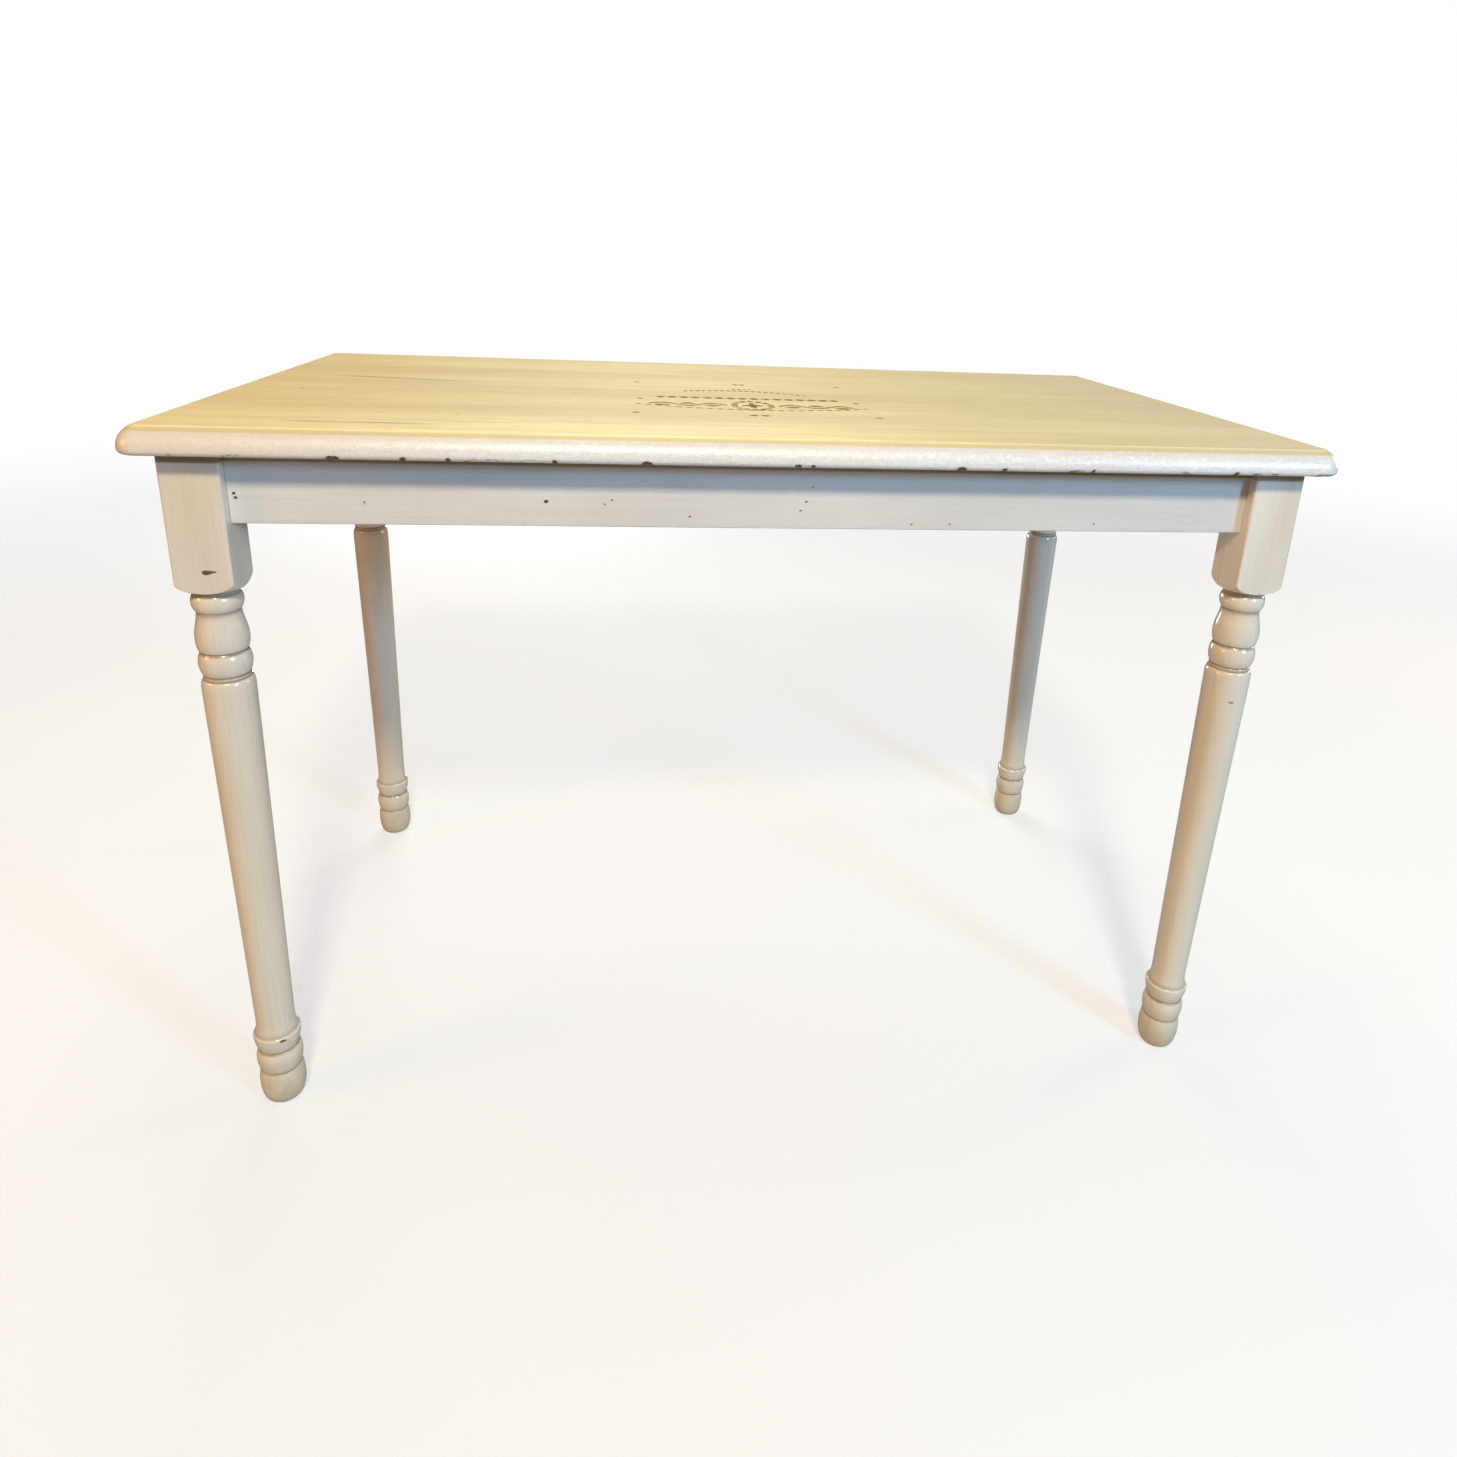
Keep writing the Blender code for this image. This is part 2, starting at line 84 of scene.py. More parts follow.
class Signal:
    """A shader socket's value, written like a number: each operation adds a Math node."""

    __add__ = __radd__ = operation("ADD")
    __sub__ = operation("SUBTRACT")
    __rsub__ = operation("SUBTRACT", swapped=True)
    __mul__ = __rmul__ = operation("MULTIPLY")
    __truediv__ = operation("DIVIDE")
    __pow__ = operation("POWER")
    most = operation("MAXIMUM")

    def __init__(self, tree: "NodeTree", socket: bpy.types.NodeSocket) -> None:
        """Wraps an output socket of a tree."""
        self.tree = tree
        self.socket = socket

    def size(self) -> "Signal":
        """Absolute value."""
        return self.tree.math("ABSOLUTE", self)

    def wave(self) -> "Signal":
        """Sine."""
        return self.tree.math("SINE", self)

    def rise(self, low: float, high: float) -> "Signal":
        """Smooth step from 0 to 1, which falls instead where low is above high.

        Args:
            low: The value at which it is 0.
            high: The value at which it is 1.

        Returns:
            The step.
        """
        start, end = (0.0, 1.0) if low < high else (1.0, 0.0)
        limits = {"From Min": min(low, high), "From Max": max(low, high), "To Min": start, "To Max": end}
        settings = {"interpolation_type": "SMOOTHSTEP"}
        return self.tree.node("ShaderNodeMapRange", settings, {"Value": self, **limits})


Number = float | Signal
Tint = Color | Signal


def largest(signals: Iterable[Signal]) -> Signal:
    """The largest of several signals, by a chain of maxima."""
    return reduce(Signal.most, signals)


class NodeTree:
    """Adds nodes to a material or a world."""

    def __init__(self, owner: bpy.types.Material | bpy.types.World) -> None:
        """Switches the owner's nodes on."""
        owner.use_nodes = True
        self.nodes, self.links = owner.node_tree.nodes, owner.node_tree.links

    def feed(self, socket: bpy.types.NodeSocket, value: Any) -> None:
        """Links a signal to a socket, or sets the socket's constant.

        Args:
            socket: The input socket.
            value: A signal, a number, or three numbers for a colour or a vector.
        """
        if isinstance(value, Signal):
            self.links.new(value.socket, socket)
        elif socket.type == "RGBA":
            socket.default_value = (*value, 1.0)
        else:
            socket.default_value = value

    def node(
        self, kind: str, settings: dict[str, Any], inputs: dict[str | int, Any], output: str | int = 0
    ) -> Signal:
        """Adds a node.

        Args:
            kind: The node's type.
            settings: Its properties, set first.
            inputs: Values or signals for its sockets, by name or number.
            output: The output socket wanted, by name or number.

        Returns:
            The output as a signal.
        """
        made = self.nodes.new(kind)
        for name, value in settings.items():
            setattr(made, name, value)
        for key, value in inputs.items():
            self.feed(made.inputs[key], value)
        return Signal(self, made.outputs[output])

    def math(self, operation_name: str, *operands: Number) -> Signal:
        """Adds a Math node with one or two operands."""
        return self.node("ShaderNodeMath", {"operation": operation_name}, dict(enumerate(operands)))

    def vector(self, operation_name: str, *operands: Signal | Triple, output: str = "Vector") -> Signal:
        """Adds a Vector Math node."""
        settings = {"operation": operation_name}
        return self.node("ShaderNodeVectorMath", settings, dict(enumerate(operands)), output)

    def parts(self, vector: Signal) -> tuple[Signal, Signal, Signal]:
        """The X, Y and Z of a vector signal."""
        first = self.node("ShaderNodeSeparateXYZ", {}, {0: vector})
        return tuple(Signal(self, output) for output in first.socket.node.outputs)

    def mix(self, share: Number, first: Tint, second: Tint) -> Signal:
        """Blends two colours: first at share 0, second at share 1."""
        settings = {"data_type": "RGBA", "clamp_factor": True}
        return self.node("ShaderNodeMix", settings, {0: share, 6: first, 7: second}, 2)


class ShaderTree(NodeTree):
    """Builds one material's nodes around a Principled shader."""

    def __init__(self, name: str) -> None:
        """Starts a material with the given name."""
        self.material = bpy.data.materials.new(name)
        super().__init__(self.material)
        self.shader = self.nodes["Principled BSDF"]
        self.place = self.node("ShaderNodeTexCoord", {}, {}, "Object")
        self.x, self.y, self.z = self.parts(self.place)

    def scaled(self, frequency: float | Triple) -> Signal:
        """The piece's own place times one frequency, or one for each axis."""
        scale = frequency if isinstance(frequency, tuple) else (frequency,) * 3
        return self.vector("MULTIPLY", self.place, scale)

    def noise(
        self, frequency: float | Triple, detail: float = 3.0, roughness: float = 0.5, warp: float = 0.0
    ) -> Signal:
        """Noise over the piece's own place.

        Args:
            frequency: Waves to a metre, the same along all axes or one for each.
            detail: How many finer layers it has.
            roughness: How strong they are.
            warp: How far it is distorted.

        Returns:
            The noise, mostly between 0.3 and 0.7.
        """
        layers = {"Scale": 1.0, "Detail": detail, "Roughness": roughness, "Distortion": warp}
        return self.node("ShaderNodeTexNoise", {}, {"Vector": self.scaled(frequency), **layers}, "Fac")

    def cells(self, frequency: float, offset: float = 0.0) -> Signal:
        """Distance to the nearest of many scattered points, in cells."""
        place = self.vector("ADD", self.scaled(frequency), (offset,) * 3)
        return self.node("ShaderNodeTexVoronoi", {}, {"Vector": place, "Scale": 1.0}, "Distance")

    def attribute(self, name: str) -> Signal:
        """A number stored at the mesh's points."""
        return self.node("ShaderNodeAttribute", {"attribute_name": name}, {}, "Fac")

    def spot(self, centre: Triple, reach: Triple, ragged: Number = 0.0) -> Signal:
        """A soft-edged oval: 1 inside and 0 outside.

        Args:
            centre: Its middle.
            reach: Its half length along each axis.
            ragged: How far its edge moves in, as a share of the half length.

        Returns:
            The oval's share of each place.
        """
        away = self.vector("DIVIDE", self.vector("SUBTRACT", self.place, centre), reach)
        return (self.vector("LENGTH", away, output="Value") + ragged).rise(1.1, 0.8)

    def relief(self, height: Signal, depth: float) -> None:
        """Feeds a height signal, in units of depth metres, to the shader's normal."""
        bump = self.node("ShaderNodeBump", {}, {"Height": height, "Distance": depth, "Strength": 1.0})
        self.feed(self.shader.inputs["Normal"], bump)

    def dress(self, color: Tint, roughness: Number, **others: Number) -> bpy.types.Material:
        """Feeds the shader.

        Args:
            color: Base colour.
            roughness: Roughness.
            **others: Other shader sockets by name, with underscores for spaces.

        Returns:
            The finished material.
        """
        self.feed(self.shader.inputs["Base Color"], color)
        self.feed(self.shader.inputs["Roughness"], roughness)
        for name, value in others.items():
            self.feed(self.shader.inputs[name.replace("_", " ")], value)
        return self.material


# ---------------------------------------------------------------- finishes

# Knocks along the front rim: (place along X, half length).
RIM_CHIPS = (
    (-0.388, 0.0062), (-0.329, 0.0030), (-0.291, 0.0022), (-0.199, 0.0024), (-0.118, 0.0050),
    (0.020, 0.0034), (0.034, 0.0022), (0.175, 0.0046), (0.217, 0.0026), (0.305, 0.0020), (0.452, 0.0030),
)
RIM_SPECKS = (0.112, 0.128, 0.175, -0.236, 0.402)


class Grain(Enum):
    """The axis that a piece's fibres and brush strokes run along."""

    LENGTHWISE = 0
    CROSSWISE = 1
    UPRIGHT = 2

    def stretch(self, along: float, across: float) -> Triple:
        """Noise frequencies that are low along the grain and high across it."""
        scale = [across, across, across]
        scale[self.value] = along
        return tuple(scale)


@dataclass(frozen=True)
class Mark:
    """A chip, knock or speck: where it is, how far it reaches, and how strong it is."""

    centre: Triple
    reach: Triple
    strength: float = 1.0


@dataclass(frozen=True)
class BarePaint:
    """Colours shared by every painted finish where the paint is gone or dirty; the grime colour also paints
    shade.
    """

    undercoat: Color = (0.07, 0.030, 0.016)
    chipped_wood: Color = (0.20, 0.085, 0.040)
    grime_and_shade: Color = (0.24, 0.17, 0.09)

    def color(self, tree: ShaderTree, share: Signal) -> Signal:
        """The colour inside a chip: undercoat at share 0, wood at share 1."""
        return tree.mix(share, self.undercoat, self.chipped_wood)


@dataclass(frozen=True)
class BrushedPaint:
    """Satin paint laid on with a brush along the grain, with chips, grime and painted shade in hollows, a
    painted shadow line just under the tabletop, and a tint warmer and darker towards the bottom.
    """

    name: str
    grain: Grain
    pale: Color
    deep: Color
    marks: tuple[Mark, ...] = ()
    gloss: float = 0.30
    smudge: Color = (0.60, 0.46, 0.27)
    lower_warm_tint: Color = (0.72, 0.61, 0.41)
    drag: Color = (0.58, 0.48, 0.37)
    drag_share: float = 0.16
    seam_height: float = 0.725
    bare: BarePaint = BarePaint()

    def material(self) -> bpy.types.Material:
        """Builds the finish.

        Returns:
            The material, which reads the mesh attribute "form": below 0 in hollows, above on crests.
        """
        tree = ShaderTree(self.name)
        broad = tree.noise(self.grain.stretch(2.0, 9.0), 3.0, 0.55)
        strokes = tree.noise(self.grain.stretch(7.0, 190.0), 4.0, 0.6)
        fine = tree.noise(self.grain.stretch(11.0, 430.0), 3.0, 0.55)
        form = tree.attribute("form")
        color = tree.mix(broad.rise(0.32, 0.68), self.pale, self.deep)
        color = tree.mix(strokes.rise(0.46, 0.74) * 0.44, color, self.deep)
        color = tree.mix(fine.rise(0.50, 0.66) * self.drag_share, color, self.drag)
        # Warmer and darker towards the bottom of the legs.
        color = tree.mix(tree.z.rise(0.56, 0.30) * 0.32, color, self.lower_warm_tint)
        # Grime and painted shade in the hollows; the seam band is a painted shadow line just under the
        # tabletop.
        hollow = (0.0 - form).rise(0.0, 0.42)
        seam = tree.z.rise(self.seam_height - 0.0106, self.seam_height - 0.0086) * (0.35 + broad)
        dirt_and_shade = (hollow * (0.5 + 0.5 * tree.noise(60.0))).most(seam * 0.95)
        color = tree.mix(dirt_and_shade * 0.90, color, self.bare.grime_and_shade)
        low = tree.z.rise(0.095, 0.0) * (0.40 + 0.6 * tree.noise((45.0, 45.0, 25.0), 4.0, 0.6).rise(0.42, 0.70))
        color = tree.mix(low * 0.75, color, self.smudge)
        ragged = tree.noise(420.0, 3.0, 0.6)
        torn = (ragged - 0.5) * 0.9
        worn = form.rise(0.35, 0.95) * ragged.rise(0.66, 0.72)
        specks = tree.cells(19.0).rise(0.042, 0.022) * ragged.rise(0.47, 0.53) * 0.7
        knocks = [tree.spot(mark.centre, mark.reach, torn) * mark.strength for mark in self.marks]
        chips = largest([worn, specks, *knocks])
        color = tree.mix(chips, color, self.bare.color(tree, ragged.rise(0.4, 0.6)))
        roughness = 0.46 - self.gloss * 0.5 + 0.12 * strokes + 0.22 * chips + 0.12 * dirt_and_shade + 0.10 * low
        tree.relief(strokes * 0.6 + fine * 0.45 - chips * 1.3 + broad * 0.5, 0.00034)
        return tree.dress(color, roughness, Coat_Weight=self.gloss, Coat_Roughness=0.07)


@dataclass(frozen=True)
class Row:
    """A row of pointed leaves along a parabola: height less curve times the square of u - middle.

    Attributes:
        height: Place across the top at the row's middle.
        reach: Half the row's length.
        pitch: Length of a leaf.
        thick: Half width of a leaf.
        curve: How fast the row bends down.
        middle: Place along the top where it is highest.
    """

    height: float
    reach: float
    pitch: float
    thick: float
    curve: float = 0.0
    middle: float = 0.0

    def cover(self, u: Signal, v: Signal) -> Signal:
        """Inside a leaf, where the distance from the row is less than the size of a sine.

        Args:
            u: Place along the top.
            v: Place across it.

        Returns:
            1 inside a leaf and 0 outside.
        """
        along = u - self.middle
        leaf = (along * (math.pi / self.pitch)).wave().size() * self.thick
        away = (v - self.height + along * along * self.curve).size()
        return (leaf - away).rise(-0.0003, 0.0012) * u.size().rise(self.reach + 0.002, self.reach)


@dataclass(frozen=True)
class Ornament:
    """A worn printed emblem of leaves, beads and a vine on the tabletop. It holds no lettering."""

    rows: tuple[Row, ...] = (
        Row(0.014, 0.072, 0.0075, 0.0046, 3.6, -0.014),
        Row(-0.053, 0.104, 0.0135, 0.0072),
        Row(-0.141, 0.128, 0.0110, 0.0032, -1.78),
        Row(0.075, 0.0085, 0.0085, 0.0060),
        Row(0.030, 0.0130, 0.0065, 0.0044),
        Row(-0.179, 0.0120, 0.0120, 0.0052),
    )
    vine_height: float = -0.107
    vine_sway: float = 0.0090
    vine_pitch: float = 0.056
    vine_line: float = 0.0028
    vine_ends: Pair = (0.030, 0.114)
    wreath: Pair = (0.021, 0.031)
    wreath_beads: int = 14
    petals: tuple[Pair, ...] = ((0.013, 0.0055), (0.0042, 0.019))
    beads: tuple[Pair, ...] = ((0.128, 0.077), (0.128, -0.176), (0.124, -0.070))
    bead_radius: float = 0.0042

    def cover(self, tree: ShaderTree) -> Signal:
        """The printed share of each place, before wear.

        The vine is a sine line with a leaf in each of its hollows. The wreath is where an
        ellipse's equation is near 1, cut into beads by the sine of the angle about it, and holds
        a flower of two crossed ellipses. Beads stand at both sides alike.

        Args:
            tree: The material's tree.

        Returns:
            1 inside the print and 0 outside.
        """
        u, v = tree.x, tree.y
        side = u.size()
        level = v - self.vine_height
        start, end = self.vine_ends
        within = side.rise(start - 0.002, start) * side.rise(end + 0.002, end)
        turn = (side - start) * (2 * math.pi / self.vine_pitch)
        sway = turn.wave() * self.vine_sway
        vine = (level - sway).size().rise(self.vine_line * 1.6, self.vine_line)
        leaf = turn.wave().size() * 0.0100 - 0.0042
        leaves = (leaf - (level + sway * 0.85).size()).rise(-0.0004, 0.0010)
        across, along = self.wreath
        ring = (u / across) ** 2.0 + (level / along) ** 2.0 - 1.0
        angle = tree.math("ARCTAN2", level / along, u / across)
        cuts = (angle * (self.wreath_beads * 0.5)).wave().size().rise(0.25, 0.55)
        petals = [((u / x) ** 2.0 + (level / y) ** 2.0).rise(1.15, 0.8) for x, y in self.petals]
        spreads = [
            ((side - x) / self.bead_radius) ** 2.0 + ((v - y) / self.bead_radius) ** 2.0 for x, y in self.beads
        ]
        beads = [spread.rise(1.1, 0.6) for spread in spreads]
        rows = [row.cover(u, v) for row in self.rows]
        scroll, wreath = vine.most(leaves) * within, ring.size().rise(0.40, 0.26) * cuts
        return largest([scroll, wreath, *petals, *rows, *beads])


@dataclass(frozen=True)
class Scratch:
    """A thin tapering line worn into the top, between two places seen from above."""

    start: tuple[float, float]
    end: tuple[float, float]
    width: float
    strength: float = 1.0

    def cover(self, tree: ShaderTree) -> Signal:
        """The line's share of each place: it fades across its width and tapers at both ends.

        Args:
            tree: The material's tree.

        Returns:
            Up to the line's strength inside it, and 0 outside.
        """
        length = math.dist(self.start, self.end)
        along_x, along_y = ((stop - begin) / length for begin, stop in zip(self.start, self.end))
        x, y = tree.x - self.start[0], tree.y - self.start[1]
        u = (x * along_x + y * along_y) / length
        v = y * along_x - x * along_y
        tapers = u.rise(0.0, 0.25) * u.rise(1.0, 0.55)
        return v.size().rise(self.width, self.width * 0.2) * tapers * self.strength


@dataclass(frozen=True)
class TabletopPaint:
    """Warm cream paint on the flat of the top, whose yellow is partly painted warm light from above, off-white
    on the moulded rim, under worn varnish. Painted warm light lies on the left end and a painted whitish
    reflection on the right end.

    Attributes:
        low: The top's lowest corner.
        high: Its highest corner.
        rim_depth: How far below the flat the rim's own colour starts.
    """

    low: Triple
    high: Triple
    rim_depth: float = 0.0044
    # The flat's warm yellow is partly painted warm light from above.
    pale: Color = (0.96, 0.835, 0.455)
    deep: Color = (0.72, 0.58, 0.30)
    faded_and_reflection: Color = (0.77, 0.71, 0.55)
    worn: Color = (0.60, 0.49, 0.28)
    painted_warm_light: Color = (0.88, 0.64, 0.30)
    rim_painted_warm_light: Color = (0.76, 0.61, 0.44)
    rim: Color = (0.79, 0.745, 0.715)
    rim_deep_and_shade: Color = (0.66, 0.605, 0.55)
    rim_painted_glint: Color = (0.93, 0.92, 0.90)
    ink: Color = (0.150, 0.085, 0.006)
    ornament: Ornament = Ornament()
    bare: BarePaint = BarePaint()
    scratches: tuple[Scratch, ...] = (
        Scratch((-0.492, 0.061), (-0.298, 0.031), 0.0078),
        Scratch((-0.456, -0.2745), (-0.290, -0.2770), 0.0052),
        Scratch((-0.330, -0.120), (-0.180, -0.1225), 0.0016, 0.5),
        Scratch((0.10, -0.225), (0.26, -0.223), 0.0014, 0.4),
    )

    def material(self) -> bpy.types.Material:
        """Builds the finish for the boards' painted faces."""
        tree = ShaderTree("tabletop_paint")
        broad = tree.noise((1.1, 7.0, 3.0), 4.0, 0.6)
        strokes = tree.noise((3.0, 75.0, 40.0), 5.0, 0.65)
        fine = tree.noise((14.0, 420.0, 200.0), 3.0, 0.6)
        speckle = tree.noise(700.0, 2.0, 0.5)
        color = tree.mix(broad.rise(0.30, 0.70), self.pale, self.deep)
        color = tree.mix(strokes.rise(0.46, 0.68) * 0.52, color, self.deep)
        color = tree.mix(fine.rise(0.50, 0.68) * 0.42, color, self.worn)
        streaks = tree.noise((2.6, 46.0, 20.0), 4.0, 0.68, 0.3)
        color = tree.mix(streaks.rise(0.55, 0.68) * 0.42, color, self.worn)
        rubbed = tree.noise((1.8, 16.0, 4.0), 4.0, 0.6, 0.4).rise(0.52, 0.72)
        color = tree.mix(rubbed * 0.40, color, self.faded_and_reflection)
        # Painted whitish reflection towards the right end, painted warm light towards the left end.
        color = tree.mix(tree.x.rise(0.05, 0.50) * 0.55, color, self.faded_and_reflection)
        color = tree.mix(tree.x.rise(-0.30, -0.56) * 0.32, color, self.painted_warm_light)
        lines = largest(scratch.cover(tree) for scratch in self.scratches)
        color = tree.mix(lines * (0.25 + fine.rise(0.36, 0.60) * 0.60), color, self.bare.grime_and_shade)
        ragged = tree.noise(260.0, 4.0, 0.65)
        patchy = tree.noise((42.0, 60.0, 40.0), 4.0, 0.6)
        ink = self.ornament.cover(tree) * (patchy * 0.5 + ragged * 0.5).rise(0.38, 0.47)
        color = tree.mix(ink * 0.96, color, self.ink)
        specks = tree.cells(17.0, 5.3).rise(0.036, 0.020)
        color = tree.mix(specks * 0.85, color, self.ink)
        shoulder = (self.high[2] - tree.z).rise(0.0001, 0.0022)
        color = tree.mix(shoulder * 0.85, color, self.worn)
        depth = (self.high[2] - tree.z) + (ragged - 0.5) * 0.0012
        on_rim = depth.rise(self.rim_depth - 0.0006, self.rim_depth + 0.0006)
        chips = self.rim_chips(tree, ragged)
        bare = self.bare.color(tree, ragged.rise(0.42, 0.62))
        rim = tree.mix(chips, self.rim_color(tree, depth, broad, strokes, ragged), bare)
        chips = chips * on_rim
        color = tree.mix(on_rim, color, rim)
        roughness = 0.36 + 0.14 * strokes + 0.10 * rubbed + 0.45 * ink + 0.25 * chips - 0.14 * on_rim
        brushed = strokes * 0.5 + fine * 0.35 + speckle * (0.18 + on_rim * 0.80)
        tree.relief(brushed - chips * 1.6 - lines * 0.6, 0.00035)
        return tree.dress(color, roughness, Coat_Weight=(0.16 + 0.10 * on_rim) * (1 - ink), Coat_Roughness=0.14)

    def rim_chips(self, tree: ShaderTree, ragged: Signal) -> Signal:
        """Where the rim's paint is knocked off: along its foot, at its chips and at its specks.

        Args:
            tree: The material's tree.
            ragged: Fine variation for torn edges.

        Returns:
            The chips' share of each place.
        """
        foot = (tree.z - self.low[2]).rise(0.0042, 0.0004)
        front, torn = self.low[1], (ragged - 0.5) * 1.1
        knocks = [
            tree.spot((x, front + 0.001, self.low[2] + 0.0012), (reach, 0.006, 0.0026), torn)
            for x, reach in RIM_CHIPS
        ]
        specks = [
            tree.spot((x, front + 0.012, self.high[2] - 0.004), (0.0016, 0.004, 0.0016)) for x in RIM_SPECKS
        ]
        return largest([foot * tree.noise((34.0, 34.0, 60.0), 5.0, 0.7).rise(0.60, 0.63), *knocks, *specks])

    def rim_color(
        self, tree: ShaderTree, depth: Signal, broad: Signal, strokes: Signal, ragged: Signal
    ) -> Signal:
        """The moulded rim's paint: scuffed and mottled, with painted glints in bright streaks and specks,
        painted shade over its upper part and painted warm light at the left.

        Args:
            tree: The material's tree.
            depth: How far below the flat each place is.
            broad: Slow variation.
            strokes: Brush strokes.
            ragged: Fine variation.

        Returns:
            The colour.
        """
        color = tree.mix(broad.rise(0.35, 0.65) * 0.5, self.rim, self.rim_deep_and_shade)
        color = tree.mix(strokes.rise(0.5, 0.75) * 0.35, color, self.rim_deep_and_shade)
        scuffs_and_glints = tree.noise((70.0, 70.0, 380.0), 5.0, 0.7)
        # The bright streaks and specks are painted glints; the dark ones are scuffs.
        color = tree.mix(scuffs_and_glints.rise(0.54, 0.66) * 0.50, color, self.rim_painted_glint)
        color = tree.mix(scuffs_and_glints.rise(0.42, 0.32) * 0.45, color, self.rim_deep_and_shade)
        color = tree.mix(ragged.rise(0.53, 0.64) * 0.50, color, self.rim_painted_glint)
        color = tree.mix(ragged.rise(0.46, 0.35) * 0.45, color, self.rim_deep_and_shade)
        # Painted shade over the rim's upper part.
        upper = depth.rise(0.0120, 0.0050) * (0.30 + strokes * 0.5)
        color = tree.mix(upper, color, self.rim_deep_and_shade)
        # Painted warm light at the left end.
        return tree.mix(tree.x.rise(-0.20, -0.56) * 0.60, color, self.rim_painted_warm_light)


@dataclass(frozen=True)
class BareWood:
    """Sawn pale hardwood with grain, pores and a little dust."""

    name: str
    grain: Grain
    pale: Color = (0.60, 0.42, 0.24)
    deep: Color = (0.40, 0.25, 0.13)
    dust: Color = (0.55, 0.47, 0.36)

    def material(self) -> bpy.types.Material:
        """Builds the finish."""
        tree = ShaderTree(self.name)
        warp = tree.noise(self.grain.stretch(1.1, 17.0), 3.0, 0.5, 0.25)
        rings = ((warp * 46.0).wave() * 0.5 + 0.5) ** 1.6
        fibre = tree.noise(self.grain.stretch(9.0, 420.0), 4.0, 0.65)
        pores = tree.noise(self.grain.stretch(45.0, 900.0), 2.0, 0.5).rise(0.64, 0.72)
        color = tree.mix(rings * 0.55 + fibre * 0.35, self.pale, self.deep)
        color = tree.mix(pores * 0.6, color, self.deep)
        color = tree.mix(tree.noise(11.0, 4.0).rise(0.52, 0.74) * 0.35, color, self.dust)
        tree.relief(fibre * 0.7 + rings * 0.25 - pores * 0.5, 0.0004)
        return tree.dress(color, 0.62 + 0.22 * fibre)


@dataclass(frozen=True)
class ZincPlate:
    """Zinc plated steel, dulled and faintly blotched."""

    name: str = "zinc_plate"
    bright: Color = (0.66, 0.67, 0.68)
    dull: Color = (0.43, 0.42, 0.40)

    def material(self) -> bpy.types.Material:
        """Builds the finish."""
        tree = ShaderTree(self.name)
        blotch = tree.noise(160.0, 4.0, 0.6).rise(0.38, 0.68)
        grind = tree.noise((1500.0, 1500.0, 300.0), 2.0, 0.5)
        tree.relief(grind, 0.00004)
        color = tree.mix(blotch, self.bright, self.dull)
        return tree.dress(color, 0.26 + 0.22 * blotch + 0.08 * grind, Metallic=1.0)


# ---------------------------------------------------------------- surfaces


class Ends(Enum):
    """How a skin's rows end: closed by flat faces, or the last row meeting the first."""

    CAPPED = auto()
    JOINED = auto()


def skin(
    name: str, rows: np.ndarray, ends: Ends = Ends.CAPPED, second: np.ndarray | None = None
) -> bpy.types.Mesh:
    """Makes a closed mesh from rows of points, each row a closed loop.

    Point j of row i is joined to point j + 1 of the row and to point j of row i + 1. The faces are
    turned outwards by the sign of the volume, the sum of corner a dot (b cross c) / 6 over the
    triangles.

    Args:
        name: The mesh's name.
        rows: Array of shape (rows, points in a row, 3).
        ends: How the rows end.
        second: For each strip between point j and j + 1, whether it takes the second material.

    Returns:
        The mesh, shaded smooth between its sharp edges.
    """
    row_count, point_count, _ = rows.shape
    index = np.arange(row_count * point_count).reshape(row_count, point_count)
    here = index if ends is Ends.JOINED else index[:-1]
    there = np.roll(index, -1, axis=0)[: len(here)]
    quads = np.stack([here, np.roll(here, -1, axis=1), np.roll(there, -1, axis=1), there], axis=-1)
    quads = quads.reshape(-1, 4)
    caps = [index[0, ::-1], index[-1]] if ends is Ends.CAPPED else []
    points = rows.reshape(-1, 3)
    fans = [np.stack([np.full(point_count - 2, cap[0]), cap[1:-1], cap[2:]], axis=-1) for cap in caps]
    corners = points[np.concatenate([quads[:, [0, 1, 2]], quads[:, [0, 2, 3]], *fans])]
    corners = corners - points.mean(axis=0)
    volume = np.einsum("ij,ij->", corners[:, 0], np.cross(corners[:, 1], corners[:, 2]))
    faces = [*quads.tolist(), *(cap.tolist() for cap in caps)]
    if volume < 0:
        faces = [face[::-1] for face in faces]
    mesh = bpy.data.meshes.new(name)
    mesh.from_pydata(points.tolist(), [], faces)
    if second is not None:
        strips = np.tile(second, len(here)).astype(np.int32)
        mesh.polygons.foreach_set("material_index", np.append(strips, np.zeros(len(caps), np.int32)))
    mesh.shade_smooth()
    mesh.set_sharp_from_angle(angle=math.radians(20))
    return mesh


def store(mesh: bpy.types.Mesh, name: str, values: np.ndarray) -> None:
    """Stores one number per point of a mesh under a name."""
    made = mesh.attributes.new(name, "FLOAT", "POINT")
    made.data.foreach_set("value", values.astype(np.float32).ravel())


def between(start: Pair, end: Pair, radius_share: np.ndarray, height_share: np.ndarray) -> np.ndarray:
    """(radius, height) points at the given shares of the way from start to end."""
    return np.array(start) + (np.array(end) - np.array(start)) * np.stack([radius_share, height_share], axis=-1)


def elliptic(start: Pair, end: Pair, leaves_level: bool, count: int = 20) -> np.ndarray:
    """A quarter ellipse, without its start point.

    Leaving level, radius follows the sine and height one minus the cosine of the angle; leaving
    upright, the two change places.

    Args:
        start: The (radius, height) where it starts.
        end: The (radius, height) where it ends.
        leaves_level: Whether it leaves its start level.
        count: How many points it has.

    Returns:
        The points.
    """
    angle = np.linspace(0, math.pi / 2, count + 1)[1:]
    shares = np.sin(angle), 1 - np.cos(angle)
    return between(start, end, *(shares if leaves_level else shares[::-1]))


